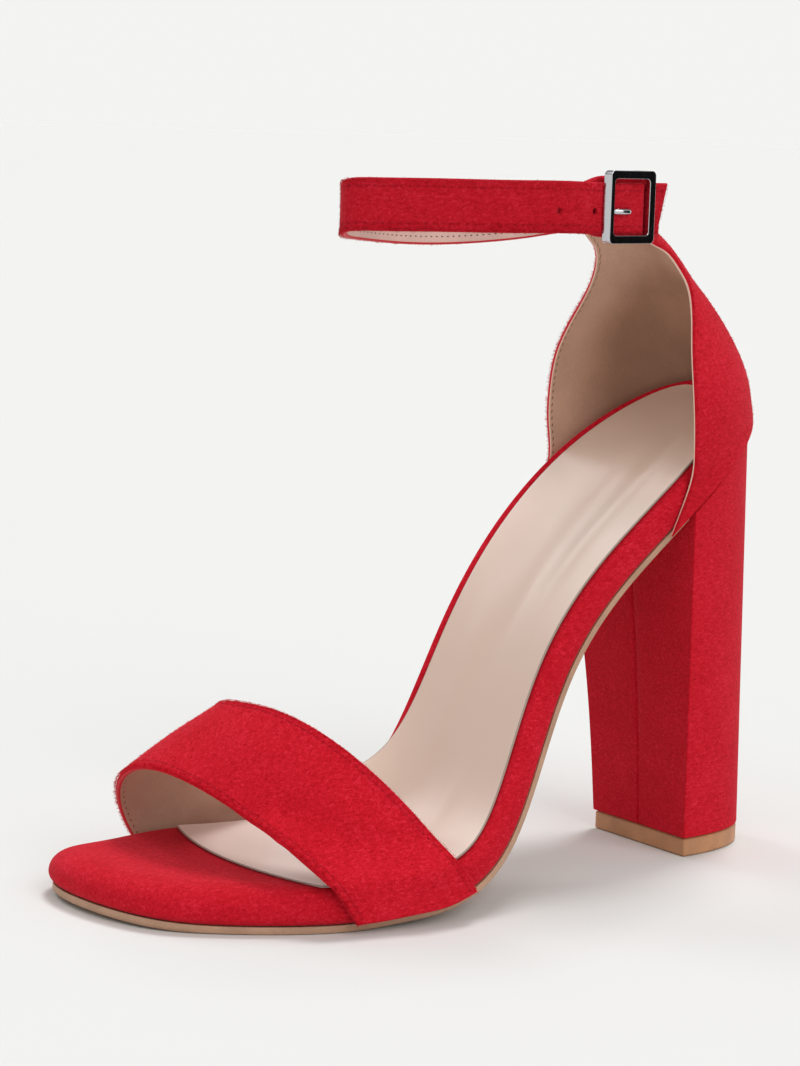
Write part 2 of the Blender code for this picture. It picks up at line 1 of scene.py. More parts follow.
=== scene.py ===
# Looks of the ankle strap heel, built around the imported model
import math

import bmesh
import bpy
import numpy as np
from mathutils import Matrix, Vector


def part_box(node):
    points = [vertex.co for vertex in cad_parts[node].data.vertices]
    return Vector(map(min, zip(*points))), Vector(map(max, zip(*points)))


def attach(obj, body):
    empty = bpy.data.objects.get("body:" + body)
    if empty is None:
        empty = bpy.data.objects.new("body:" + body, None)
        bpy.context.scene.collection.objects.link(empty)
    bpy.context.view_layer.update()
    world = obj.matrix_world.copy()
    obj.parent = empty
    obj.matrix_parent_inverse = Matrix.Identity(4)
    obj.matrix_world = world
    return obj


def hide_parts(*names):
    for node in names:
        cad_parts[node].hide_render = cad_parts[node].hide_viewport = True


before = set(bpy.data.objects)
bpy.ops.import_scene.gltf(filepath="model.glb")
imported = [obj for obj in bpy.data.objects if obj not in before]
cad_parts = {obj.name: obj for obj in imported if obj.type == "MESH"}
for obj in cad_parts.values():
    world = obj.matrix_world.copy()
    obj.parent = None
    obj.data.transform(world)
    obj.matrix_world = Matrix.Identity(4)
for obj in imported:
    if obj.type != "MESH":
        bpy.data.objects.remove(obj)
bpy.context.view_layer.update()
print("frame loaded, nodes:", len(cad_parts))

# Shapes are worked out with the back of the heel seat at y = 0, as the solids are, then moved by lastPlace
heelTip = dict(height=0.0050, width=0.0374, depth=0.0305, squareness=2.4, centreX=0.0013, breastY=-0.0225,
               bevel=0.0005, bevelSegments=2, rows=3, breastColumns=12, samples=801)
tipLow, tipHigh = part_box("heel_tip")
lastPlace = np.array([(tipLow.x + tipHigh.x) / 2 - heelTip["centreX"], tipLow.y - heelTip["breastY"], 0.0])


# Curves

# Natural cubic through the values: its bends solve a three-diagonal system, with none at the ends
def splineThrough(knots, values):
    knots = np.asarray(knots, float)
    values = np.asarray(values, float)
    flat = values.reshape(len(knots), -1)
    steps = np.diff(knots)
    rises = np.diff(flat, axis=0) / steps[:, None]
    inner = np.arange(1, len(knots) - 1)
    system = np.eye(len(knots))
    system[inner, inner - 1] = steps[:-1]
    system[inner, inner] = 2 * (steps[:-1] + steps[1:])
    system[inner, inner + 1] = steps[1:]
    load = np.zeros_like(flat)
    load[1:-1] = 6 * np.diff(rises, axis=0)
    bends = np.linalg.solve(system, load)

    def value(at):
        at = np.clip(np.asarray(at, float), knots[0], knots[-1])
        cell = np.clip(np.searchsorted(knots, at.ravel()) - 1, 0, len(knots) - 2)
        step = steps[cell][:, None]
        left = (knots[cell + 1] - at.ravel())[:, None] / step
        right = 1 - left
        line = left * flat[cell] + right * flat[cell + 1]
        bow = (left ** 3 - left) * bends[cell] + (right ** 3 - right) * bends[cell + 1]
        return (line + bow * step ** 2 / 6).reshape(at.shape + values.shape[1:])

    return value


# Running length along a line of points, from 0 at its first
def runLength(points):
    return np.concatenate([[0.0], np.cumsum(np.linalg.norm(np.diff(points, axis=0), axis=1))])


# The same line with its points an even step apart
def evenPoints(points, count):
    travel = runLength(points)
    even = np.linspace(0.0, travel[-1], count)
    return np.stack([np.interp(even, travel, points[:, axis]) for axis in range(points.shape[1])], axis=-1)


# Rows of a short table made into a smooth line of more rows
def smoothRows(table, count):
    table = np.array(table)
    knots = runLength(table)
    return splineThrough(knots, table)(np.linspace(0, knots[-1], count))


# 0 before the first value and 1 after the second, with a smooth step between
def smoothStep(value, first, second):
    share = np.clip((value - first) / (second - first), 0.0, 1.0)
    return share * share * (3 - 2 * share)


# Closed rounded rectangle about the origin: four quarter circles joined by straight sides
def roundedRect(length, height, radius, perCorner=9):
    turns = np.linspace(0.0, math.pi / 2, perCorner)[None, :] + np.arange(4)[:, None] * math.pi / 2
    centreX = np.array([1, -1, -1, 1])[:, None] * (length / 2 - radius)
    centreY = np.array([1, 1, -1, -1])[:, None] * (height / 2 - radius)
    x = centreX + radius * np.cos(turns)
    y = centreY + radius * np.sin(turns)
    return np.stack([x.ravel(), y.ravel()], axis=-1)


# Grids and meshes

# Unit normals of a grid of points: the cross product of its two running directions
def gridNormals(grid, outward):
    normals = np.cross(np.gradient(grid, axis=0), np.gradient(grid, axis=1))
    normals /= np.maximum(np.linalg.norm(normals, axis=-1, keepdims=True), 1e-12)
    return normals if np.sum(normals * outward) > 0 else -normals


# Running lengths of a grid from its first row, last row, first column and last column
def borderGaps(grid):
    down = np.linalg.norm(np.diff(grid, axis=0), axis=-1).cumsum(axis=0)
    down = np.concatenate([np.zeros((1, grid.shape[1])), down])
    along = np.linalg.norm(np.diff(grid, axis=1), axis=-1).cumsum(axis=1)
    along = np.concatenate([np.zeros((grid.shape[0], 1)), along], axis=1)
    return down, down[-1:] - down, along, along[:, -1:] - along


# Shares from 0 to 1 that crowd together where a rounded border needs them
lipShares = np.array([0.0, 0.05, 0.2, 0.45, 0.75])


def edgeShares(count, length, rounding):
    lip = rounding / length * lipShares
    inside = lip[-1] / lipShares[-1]
    return np.concatenate([lip, np.linspace(inside, 1 - inside, count), 1 - lip[::-1]])


# Smooth surface through a coarse grid: cubics down its columns, then along its rows
def surfaceAt(coarse, rowShares, columnShares):
    rows = splineThrough(np.linspace(0, 1, len(coarse)), coarse)(rowShares)
    columns = splineThrough(np.linspace(0, 1, coarse.shape[1]), rows.swapaxes(0, 1))(columnShares)
    return columns.swapaxes(0, 1)


# One sheet of a mesh: a grid of points with its map and material, closed round its columns or open
def sheet(points, seam=None, material=0, closed=False):
    rows, columns = points.shape[:2]
    ahead = columns if closed else columns - 1
    corner = np.arange(rows - 1)[:, None] * columns + np.arange(ahead)[None, :]
    beside = np.arange(rows - 1)[:, None] * columns + (np.arange(ahead)[None, :] + 1) % columns
    faces = np.stack([corner, beside, beside + columns, corner + columns], axis=-1).reshape(-1, 4)
    seam = np.zeros((rows, columns, 2)) if seam is None else seam
    return dict(points=points.reshape(-1, 3), seam=seam.reshape(-1, 2), faces=faces, material=material)


# Sheet closed round its columns, with its first and last row filled from their middles
def filledSheets(wall):
    centre = wall.mean(axis=1, keepdims=True)
    share = np.linspace(0, 1, 2)[:, None, None]
    caps = [sheet(centre[end] * share + wall[end] * (1 - share), closed=True) for end in (0, -1)]
    return [sheet(wall, closed=True)] + caps


# Object from sheets whose borders meet: points are merged, faces turned outwards
meshing = dict(weld=2e-6, sliver=1e-7)


def pieceFrom(name, sheets, materials, sharp=40):
    starts = np.cumsum([0] + [len(part["points"]) for part in sheets[:-1]])
    points = np.concatenate([part["points"] for part in sheets]) + lastPlace
    faces = np.concatenate([part["faces"] + start for part, start in zip(sheets, starts)])
    seam = np.concatenate([part["seam"] for part in sheets])
    owners = np.concatenate([np.full(len(part["faces"]), part["material"]) for part in sheets])
    mesh = bpy.data.meshes.new(name)
    mesh.from_pydata(points.tolist(), [], faces.tolist())
    mesh.uv_layers.new(name="seam").data.foreach_set("uv", seam[faces.ravel()].astype(np.float32).ravel())
    mesh.polygons.foreach_set("material_index", owners.astype(np.int32))
    work = bmesh.new()
    work.from_mesh(mesh)
    bmesh.ops.remove_doubles(work, verts=work.verts, dist=meshing["weld"])
    bmesh.ops.dissolve_degenerate(work, edges=work.edges, dist=meshing["sliver"])
    bmesh.ops.recalc_face_normals(work, faces=work.faces)
    if work.calc_volume(signed=True) < 0:
        bmesh.ops.reverse_faces(work, faces=work.faces)
    work.to_mesh(mesh)
    work.free()
    mesh.shade_smooth()
    mesh.set_sharp_from_angle(angle=math.radians(sharp))
    for finish in materials:
        mesh.materials.append(finish)
    piece = bpy.data.objects.new(name, mesh)
    bpy.context.scene.collection.objects.link(piece)
    return piece


# Rounds a piece's sharp corners
def roundCorners(piece, width, segments):
    rounded = piece.modifiers.new("corners", "BEVEL")
    rounded.width = width
    rounded.segments = segments
    rounded.limit_method = "ANGLE"
    rounded.angle_limit = math.radians(45)


# Puts a piece on the shoe: it rides on the body and hides its solid
def dress(piece, node):
    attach(piece, "root")
    if node:
        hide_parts(node)
    print("made", piece.name, "faces:", len(piece.data.polygons))
    return piece


# Outer and inner sheet of a wall about its middle, half the thickness to each side, falling off to
# nothing at the border as a quarter of an ellipse, so that the border is round
def shellSheets(middle, outward, size, seam):
    normals = gridNormals(middle, outward)
    gap = np.minimum.reduce(borderGaps(middle))
    fall = np.sqrt(1 - (1 - np.clip(gap / size["rounding"], 0, 1)) ** 2)
    half = (size["wall"] / 2 * fall)[..., None] * normals
    return [sheet(middle + half, seam, 0), sheet((middle - half)[:, ::-1], seam[:, ::-1], 1)]


# Nap of a suede sheet: short slivers of four faces that stand off the surface, most of them near its border;
# each starts at a random place of the grid, leans along the lay of the nap and ends in a point
hair = dict(least=0.00030, most=0.00075, width=0.00007, thickness=1.5, lay=np.array([0.15, -0.85, -0.25]),
            lift=0.62, stray=0.45, inside=0.25, atRim=6, rimReach=0.0008, seam=0.01)


def napSheets(grid, outward, rim, count, seed):
    draw = np.random.default_rng(seed)
    normals = gridNormals(grid, outward)
    rows, columns = grid.shape[:2]
    heights = np.linalg.norm(np.diff(grid, axis=0)[:, :-1], axis=-1)
    widths = np.linalg.norm(np.diff(grid, axis=1)[:-1], axis=-1)
    weight = heights * widths * (hair["inside"] + np.exp(-rim[:-1, :-1] / hair["rimReach"]) * hair["atRim"])
    cell = draw.choice(weight.size, count, p=(weight / weight.sum()).ravel())
    row, column = cell // (columns - 1), cell % (columns - 1)
    across, down = draw.random((2, count, 1))
    base = grid[row, column] * (1 - across) + grid[row, column + 1] * across
    base = base + (grid[row + 1, column] - grid[row, column]) * down
    up = normals[row, column]
    way = hair["lay"] + draw.normal(0.0, hair["stray"], (count, 3))
    way -= np.sum(way * up, axis=1, keepdims=True) * up
    way = way / np.linalg.norm(way, axis=1, keepdims=True) + hair["lift"] * up
    side = np.cross(way, up) * hair["width"] / 2
    tip = base + way * draw.uniform(hair["least"], hair["most"], (count, 1))
    root = base - up * hair["width"]
    points = np.stack([root - side, root + side, root + up * hair["width"] * hair["thickness"], tip], axis=1)
    corners = np.array([(0, 1, 2), (0, 3, 1), (1, 3, 2), (2, 3, 0)])
    faces = (np.arange(count)[:, None, None] * 4 + corners).reshape(-1, 3)
    seam = np.full((count * 4, 2), hair["seam"])
    return dict(points=points.reshape(-1, 3), seam=seam, faces=faces, material=0)


# Shader maths on sockets

class Signal:
    def __init__(self, finish, socket):
        self.finish = finish
        self.socket = socket

    def join(self, operation, first, second=0.0):
        return self.finish.node("ShaderNodeMath", {"operation": operation}, {0: first, 1: second})

    def __add__(self, other):
        return self.join("ADD", self, other)

    def __radd__(self, other):
        return self.join("ADD", other, self)

    def __sub__(self, other):
        return self.join("SUBTRACT", self, other)

    def __rsub__(self, other):
        return self.join("SUBTRACT", other, self)

    def __mul__(self, other):
        return self.join("MULTIPLY", self, other)

    def __rmul__(self, other):
        return self.join("MULTIPLY", other, self)

    def __truediv__(self, other):
        return self.join("DIVIDE", self, other)

    def __mod__(self, other):
        return self.join("FLOORED_MODULO", self, other)

    def __abs__(self):
        return self.join("ABSOLUTE", self)


class NodeDesk:
    def __init__(self, tree):
        self.tree = tree

    # Any node: its settings first, then the values or links of its sockets
    def node(self, kind, settings=None, inputs=None, output=0):
        made = self.tree.nodes.new(kind)
        for key, value in (settings or {}).items():
            setattr(made, key, value)
        for key, value in (inputs or {}).items():
            self.feed(made.inputs[key], value)
        return Signal(self, made.outputs[output])

    def feed(self, socket, value):
        if isinstance(value, Signal):
            self.tree.links.new(value.socket, socket)
        else:
            socket.default_value = value

    # 0 below the first value and 1 above the second, with a smooth step between
    def step(self, value, first, second, low=0.0, high=1.0):
        sockets = {"Value": value, "From Min": first, "From Max": second, "To Min": low, "To Max": high}
        return self.node("ShaderNodeMapRange", {"interpolation_type": "SMOOTHSTEP"}, sockets)

    def blend(self, share, first, second):
        return self.node("ShaderNodeMix", {"data_type": "RGBA"}, {0: share, 6: first, 7: second}, output=2)

    def parts(self, vector):
        made = self.node("ShaderNodeSeparateXYZ", {}, {0: vector})
        return [Signal(self, socket) for socket in made.socket.node.outputs]


class Finish(NodeDesk):
    def __init__(self, name, **constants):
        self.material = bpy.data.materials.new(name)
        self.material.use_nodes = True
        super().__init__(self.material.node_tree)
        self.shader = self.tree.nodes["Principled BSDF"]
        for socket, value in constants.items():
            self.shader.inputs[socket.replace("_", " ")].default_value = value

    def place(self):
        return self.node("ShaderNodeTexCoord", output="Object")

    def noise(self, scale, detail, roughness, stretch=None, lively=0.0):
        where = self.place()
        if stretch:
            where = self.node("ShaderNodeMapping", {}, {"Vector": where, "Scale": stretch})
        sockets = {"Vector": where, "Scale": scale, "Detail": detail, "Roughness": roughness,
                   "Distortion": lively}
        return self.node("ShaderNodeTexNoise", {}, sockets)

    # Running length along the seam and distance from the border, both in metres
    def seam(self):
        return self.parts(self.node("ShaderNodeUVMap", {"uv_map": "seam"}))[:2]

    # 0 on the shoe's inner side and 1 on its outer side, with a narrow step past its middle
    def outerSide(self, middle=0.0, width=0.008):
        return self.step(self.parts(self.place())[0], middle, middle + width)

    def tone(self, colour, brightness=1.0):
        return tuple(part * brightness for part in colour) + (1,)

    def relief(self, height, depth, strength):
        bump = self.node("ShaderNodeBump", {}, {"Height": height, "Distance": depth, "Strength": strength})
        self.feed(self.shader.inputs["Normal"], bump)

    def colour(self, value):
        self.feed(self.shader.inputs["Base Color"], value)

    def rough(self, value):
        self.feed(self.shader.inputs["Roughness"], value)


# Finishes: noises as scale, detail and roughness, steps as first and last value, relief as depth and strength

suede = dict(
    dark=(0.45, 0.0030, 0.0105), mid=(0.58, 0.0070, 0.0200), pale=(0.74, 0.026, 0.054),
    shadow=(0.12, 0.0010, 0.0030), lay=(1.0, 0.40, 1.0), lively=0.6,
    clouds=(55, 3.0, 0.55), brushed=(1500, 4.0, 0.62), nap=(4200, 2.0, 0.6),
    cloudShare=0.14, brushedShare=0.50, napShare=0.36, midStep=(0.38, 0.52), paleStep=(0.50, 0.66),
    brushedHeight=0.45, napHeight=0.55, relief=(0.00035, 0.55),
    seamGap=0.0021, seamWidth=0.00050, stitch=0.0021, needle=(0.26, 0.42), groove=0.40, pressed=2.0,
)


# Suede: soft clouds of tone, brushed streaks and a fine nap that lie along the foot, with a pressed line of
# stitches along a sewn border, darkened there with a painted shadow
def makeSuede(name, sewn=0.0, brightness=1.0):
    finish = Finish(name, Roughness=0.92, Sheen_Weight=0.14, Sheen_Roughness=0.40, Specular_IOR_Level=0.12,
                    Sheen_Tint=(1.0, 0.22, 0.28, 1))
    clouds = finish.noise(*suede["clouds"])
    brushed = finish.noise(*suede["brushed"], suede["lay"], suede["lively"])
    nap = finish.noise(*suede["nap"], suede["lay"])
    shade = suede["cloudShare"] * clouds + suede["brushedShare"] * brushed + suede["napShare"] * nap
    dark, mid, pale = (finish.tone(suede[key], brightness) for key in ("dark", "mid", "pale"))
    colour = finish.blend(finish.step(shade, *suede["midStep"]), dark, mid)
    colour = finish.blend(finish.step(shade, *suede["paleStep"]), colour, pale)
    height = suede["brushedHeight"] * brushed + suede["napHeight"] * nap
    if sewn:
        along, rim = finish.seam()
        line = 1 - finish.step(abs(rim - suede["seamGap"]), 0.0, suede["seamWidth"])
        needle = finish.step(abs(along / suede["stitch"] % 1.0 - 0.5), *suede["needle"])
        press = line * (suede["groove"] + (1 - suede["groove"]) * needle)
        # Painted shadow: the pressed seam and its needle holes are darkened with the shadow tone
        colour = finish.blend(sewn * press, colour, finish.tone(suede["shadow"]))
        height = height - suede["pressed"] * sewn * press
    finish.colour(colour)
    finish.relief(height, *suede["relief"])
    return finish.material


lining = dict(clouds=(70, 3.0, 0.5), grain=(1500, 3.0, 0.6), cloudShare=0.7, grainShare=0.3,
              shade=(0.35, 0.65), dim=0.84, shadeInward=(0.004, 0.026), spot=(0.3, 1.0), spotShare=0.9,
              spotDepth=2.0, cutFade=0.7, borderFade=0.85, relief=(0.00012, 0.4))


# Lining: smooth sheet with a faint grain and painted shade that darkens it away from its border, deep inside
# the piece;
# at the border it has a row of stitches and a turned red edge, or a pale cut edge that is red on the inner
# side alone
def makeLining(name, tone, shadedTone, stitch, border, cut=0.0, cutTone=None):
    finish = Finish(name, Roughness=0.55, Specular_IOR_Level=0.35)
    clouds = finish.noise(*lining["clouds"])
    grain = finish.noise(*lining["grain"])
    along, rim = finish.seam()
    shade = finish.step(lining["cloudShare"] * clouds + lining["grainShare"] * grain, *lining["shade"])
    nearRim = finish.blend(shade, finish.tone(tone, lining["dim"]), finish.tone(tone))
    # Painted shade: the lining darkens away from its border, towards the inside of the counter and band
    shadedFarIn = finish.blend(shade, finish.tone(shadedTone, lining["dim"]), finish.tone(shadedTone))
    colour = finish.blend(finish.step(rim, *lining["shadeInward"]), nearRim, shadedFarIn)
    across = abs(rim - stitch["gap"]) / stitch["radius"]
    run = abs(along % stitch["pitch"] - stitch["pitch"] / 2) / (stitch["radius"] * stitch["stretch"])
    spot = 1 - finish.step(across * across + run * run, *lining["spot"])
    colour = finish.blend(lining["spotShare"] * spot, colour, finish.tone(stitch["tone"]))
    turned = 1 - finish.step(rim, border * lining["borderFade"], border)
    if cut:
        bare = 1 - finish.step(rim, cut * lining["cutFade"], cut)
        colour = finish.blend(bare, colour, finish.tone(cutTone))
        turned = turned * (1 - finish.outerSide())
    finish.colour(finish.blend(turned, colour, finish.tone(suede["mid"])))
    finish.relief(grain - lining["spotDepth"] * spot, *lining["relief"])
    return finish.material


satin = dict(
    heel=(0.69, 0.490, 0.385), middle=(0.66, 0.495, 0.410), front=(0.90, 0.745, 0.695),
    heelShadeStep=(0.01, 0.075), frontStep=(0.155, 0.190), clouds=(38, 3.0, 0.5), pores=(2600, 2.0, 0.6),
    cloudShare=0.10, cloudStep=(0.35, 0.65), cloudDim=0.8,
    rimShadowShare=0.75, rimShadowStep=(0.00018, 0.00042), rimShadowDim=0.25,
    glossStep=(0.3, 0.7), gloss=(0.29, 0.36), relief=(0.00006, 0.25),
)


# Sock: pale satin sheet, darker towards the heel with painted shade where the counter shades it, and a
# painted shadow line under its cut edge
def makeSatin(name):
    finish = Finish(name, Specular_IOR_Level=0.5)
    clouds = finish.noise(*satin["clouds"])
    along, rim = finish.seam()
    heel, middle, front = (finish.tone(satin[key]) for key in ("heel", "middle", "front"))
    # Painted shade: the satin is darker towards the heel, where the counter shades it
    colour = finish.blend(finish.step(along, *satin["heelShadeStep"]), heel, middle)
    colour = finish.blend(finish.step(along, *satin["frontStep"]), colour, front)
    cloudy = satin["cloudShare"] * finish.step(clouds, *satin["cloudStep"])
    colour = finish.blend(cloudy, colour, finish.tone(satin["heel"], satin["cloudDim"]))
    # Painted shadow: a dark line along the cut edge, where the sheet's gap above the footbed shades it
    line = satin["rimShadowShare"] - satin["rimShadowShare"] * finish.step(rim, *satin["rimShadowStep"])
    finish.colour(finish.blend(line, colour, finish.tone(satin["heel"], satin["rimShadowDim"])))
    finish.rough(finish.step(clouds, *satin["glossStep"], *satin["gloss"]))
    finish.relief(finish.noise(*satin["pores"]), *satin["relief"])
    return finish.material


rubber = dict(clouds=(120, 3.0, 0.5), specks=(2400, 2.0, 0.7), cloudShare=0.6, speckShare=0.4,
              shade=(0.35, 0.65), dim=0.78, relief=(0.00010, 0.4))


# Rubber sheet: even tan with fine specks
def makeRubber(name, tone, gloss):
    finish = Finish(name, Roughness=gloss, Specular_IOR_Level=0.4)
    clouds = finish.noise(*rubber["clouds"])
    specks = finish.noise(*rubber["specks"])
    shade = finish.step(rubber["cloudShare"] * clouds + rubber["speckShare"] * specks, *rubber["shade"])
    finish.colour(finish.blend(shade, finish.tone(tone, rubber["dim"]), finish.tone(tone)))
    finish.relief(specks, *rubber["relief"])
    return finish.material


chrome = dict(tone=(0.55, 0.55, 0.57), smears=(260, 3.0, 0.6), smearStep=(0.3, 0.7), gloss=(0.06, 0.13),
              relief=(0.00003, 0.15))


# Polished plate: even metal whose gloss is a little uneven where fingers have been
def makeChrome(name):
    finish = Finish(name, Metallic=1.0)
    smears = finish.noise(*chrome["smears"])
    finish.colour(finish.tone(chrome["tone"]))
    finish.rough(finish.step(smears, *chrome["smearStep"], *chrome["gloss"]))
    finish.relief(smears, *chrome["relief"])
    return finish.material


# Copies of the one suede: the strap, counter, rim and heel copies are dimmed with painted shade for the light
# that falls on each
upperSuede = makeSuede("upper_suede", 0.42)
strapSuede = makeSuede("strap_suede", 0.42, 0.82)
counterSuede = makeSuede("counter_suede", brightness=0.94)
rimSuede = makeSuede("rim_suede", brightness=0.93)
heelSuede = makeSuede("heel_suede", brightness=0.96)
bandLining = makeLining(
    "band_lining", (0.58, 0.390, 0.285), (0.52, 0.315, 0.225), border=0.0007,
    stitch=dict(gap=0.0017, radius=0.00024, pitch=0.0021, stretch=1.8, tone=(0.16, 0.09, 0.06)))
counterLining = makeLining(
    "counter_lining", (0.60, 0.375, 0.265), (0.38, 0.208, 0.132), border=0.00026, cut=0.0007,
    cutTone=(0.80, 0.56, 0.45),
    stitch=dict(gap=0.0014, radius=0.00030, pitch=0.0019, stretch=1.6, tone=(0.10, 0.05, 0.03)))
strapLining = makeLining(
    "strap_lining", (0.74, 0.49, 0.43), (0.74, 0.49, 0.43), border=0.0007,
    stitch=dict(gap=0.0022, radius=0.00024, pitch=0.0021, stretch=2.0, tone=(0.10, 0.05, 0.05)))
sockSatin = makeSatin("sock_satin")
soleRubber = makeRubber("sole_rubber", (0.52, 0.31, 0.20), 0.55)
tipRubber = makeRubber("tip_rubber", (0.56, 0.27, 0.130), 0.5)
buckleChrome = makeChrome("buckle_chrome")
print("finishes made:", len(bpy.data.materials))

# Sole: its plan outline and the side profile of its top, as shares of the plan length from the heel
sole = dict(
    length=0.192, toeTipX=-0.0240, thickness=0.0090, gap=0.0003,
    share=(0.03, 0.12, 0.25, 0.40, 0.55, 0.68, 0.80, 0.90, 0.97),
    outer=(0.0154, 0.0256, 0.0265, 0.0248, 0.0370, 0.0372, 0.0304, 0.0188, 0.0042),
    inner=(-0.0152, -0.0255, -0.0283, -0.0240, -0.0200, -0.0338, -0.0440, -0.0438, -0.0391),
    levelShare=(0.0, 0.12, 0.25, 0.40, 0.55, 0.68, 0.74, 0.80, 0.86, 0.92, 1.0),
    level=(0.1292, 0.1148, 0.0949, 0.0612, 0.0206, 0.0125, 0.01142, 0.01122, 0.01122, 0.01142, 0.0127),
    samples=1601, lap=4, stations=150, across=49, meeting=1e-6, toeTurn=(0.138, 0.172),
    dish=0.0009, dishWidth=0.030, dishStart=0.6, dishReach=0.06,
    bead=0.0013, beadInset=0.0026, beadWidth=0.0011, beadEnd=(0.100, 0.125),
)


# Closed cubic through the outline's points, its knots spread by the root of each chord
def soleOutline():
    y = -np.array(sole["share"]) * sole["length"]
    outer = np.stack([sole["outer"], y], axis=-1)
    inner = np.stack([sole["inner"], y], axis=-1)
    ring = np.vstack([[(0.0, 0.0)], outer, [(sole["toeTipX"], -sole["length"])], inner[::-1]])
    extra = sole["lap"]
    lap = np.vstack([ring[-extra:], ring, ring[:extra + 1]])
    knots = np.concatenate([[0.0], np.cumsum(np.sqrt(np.linalg.norm(np.diff(lap, axis=0), axis=1)))])
    places = np.linspace(knots[extra], knots[extra + len(ring)], sole["samples"])
    loop = splineThrough(knots, lap)(places)
    toe = loop[:, 1].argmin()
    return dict(outer=loop[:toe + 1], inner=loop[toe:][::-1])


soleEdge = soleOutline()
toeY = soleEdge["outer"][-1, 1]
topHeight = splineThrough(np.array(sole["levelShare"]) * sole["length"], sole["level"])


# Plan points of one edge at the given y, with the outward direction there
def edgeAt(side, y):
    line = soleEdge[side]
    cells = np.arange(len(line))
    along = np.interp(-np.asarray(y), -line[:, 1], cells)
    slopes = np.gradient(line, axis=0)
    points = np.stack([np.interp(along, cells, line[:, axis]) for axis in (0, 1)], axis=-1)
    tangents = np.stack([np.interp(along, cells, slopes[:, axis]) for axis in (0, 1)], axis=-1)
    tangents /= np.linalg.norm(tangents, axis=-1, keepdims=True)
    turn = 1.0 if side == "outer" else -1.0
    return points, turn * np.stack([-tangents[..., 1], tangents[..., 0]], axis=-1)


# Plan points set on the footbed's top, then sunk square to it by a depth
def seat(plan, depth=0.0):
    y = np.clip(plan[..., 1], toeY, 0.0)
    small = 1e-4
    slope = (topHeight(-y - small) - topHeight(-y + small)) / (2 * small)
    length = np.sqrt(1 + slope ** 2)
    height = topHeight(-y) - depth / length
    return np.stack([plan[..., 0], plan[..., 1] + depth * slope / length, height], axis=-1)


# Lift beside the ball of the foot, where the footbed curls up against the band's inner leg: it is full from a
# foot inside the edge, falls away across the sole and fades down the rows of the edge
curl = dict(height=0.0116, peakY=-0.1098, spanY=0.0118, foot=0.0020, reach=0.0200, fadeRows=4,
            fadePower=1.5)


def curlLift(plan):
    inside = np.maximum(plan[..., 0] - edgeAt("inner", plan[..., 1])[0][..., 0], 0.0)
    along = np.exp(-((plan[..., 1] - curl["peakY"]) / curl["spanY"]) ** 2)
    rise = np.clip(inside / curl["foot"], 0.0, 1.0)
    fall = np.clip(1 - (inside - curl["foot"]) / curl["reach"], 0.0, 1.0)
    return curl["height"] * along * (rise * fall) ** 2


# Hollow of the sole's top between its edges, for the share across and the place along: none at the toe, nor
# at the ends, where the sole has no width
def dishAt(share, y):
    width = edgeAt("outer", y)[0][..., 0] - edgeAt("inner", y)[0][..., 0]
    fade = np.clip((y - toeY) / sole["dishReach"] - sole["dishStart"], 0.0, 1.0)
    fade = fade * np.clip(width / sole["dishWidth"], 0.0, 1.0)
    return sole["dish"] * (1 - (2 * share - 1) ** 2) * fade


# Closed slab under the footbed's top: a wall down each side at the rim's offsets and depths, a wall at each
# end, and a cap above and below whose points run straight across from edge to edge. With a rim of the toe's
# own it is the footbed itself: it turns into that rim at the toe, and has the dish, the bead and the curl
def soleLayer(rim, toeRim=None, firstY=0.0, floor=None):
    y = firstY + (toeY - firstY) * (1 - np.cos(np.linspace(0, math.pi, sole["stations"]))) / 2
    offset, depth = (np.array(column)[:, None] + 0 * y for column in zip(*rim))
    if toeRim is not None:
        toward = smoothStep(-y, *sole["toeTurn"])
        toeOffset, toeDepth = (np.array(column)[:, None] for column in zip(*toeRim))
        offset = offset + (toeOffset - offset) * toward
        depth = depth + (toeDepth - depth) * toward
    (outer, outerOut), (inner, innerOut) = edgeAt("outer", y), edgeAt("inner", y)
    for tip in (0, -1):
        if np.allclose(outer[tip], inner[tip], atol=sole["meeting"]):
            mean = outerOut[tip] + innerOut[tip]
            outerOut[tip] = innerOut[tip] = mean / np.linalg.norm(mean)
    sides = [outer + offset[..., None] * outerOut, inner + offset[..., None] * innerOut]
    for plan in sides:
        plan[..., 1] = np.minimum(plan[..., 1], firstY + np.maximum(offset, 0.0))
    sunk = [depth, depth]
    if toeRim is not None:
        welt = sole["bead"] * np.exp(-((offset + sole["beadInset"]) / sole["beadWidth"]) ** 2)
        welt = welt * (1 - smoothStep(-y, *sole["beadEnd"]))
        fade = np.clip(1 - np.arange(len(offset)) / curl["fadeRows"], 0.0, 1.0)[:, None] ** curl["fadePower"]
        sunk[1] = depth - welt - fade * curlLift(sides[1][0])
    span = np.linspace(0, 1, sole["across"])[None, :]

    def placed(plan, below):
        points = seat(plan, below)
        if floor is not None:
            points[..., 2] = np.maximum(points[..., 2], floor)
        return sheet(points)

    def between(pick):
        plan = pick(sides[0])[:, None] * (1 - span[..., None]) + pick(sides[1])[:, None] * span[..., None]
        return plan, pick(sunk[0])[:, None] * (1 - span) + pick(sunk[1])[:, None] * span

    topPlan, topSunk = between(lambda rows: rows[0])
    if toeRim is not None:
        topSunk = topSunk + dishAt(span, y[:, None])
        topSunk = topSunk + curlLift(sides[1][0])[:, None] * span - curlLift(topPlan)
    walls = [placed(plan, below) for plan, below in zip(sides, sunk)]
    tips = [placed(*between(lambda rows: rows[:, tip])) for tip in (0, -1)]
    return walls + tips + [placed(topPlan, topSunk), placed(*between(lambda rows: rows[-1]))]


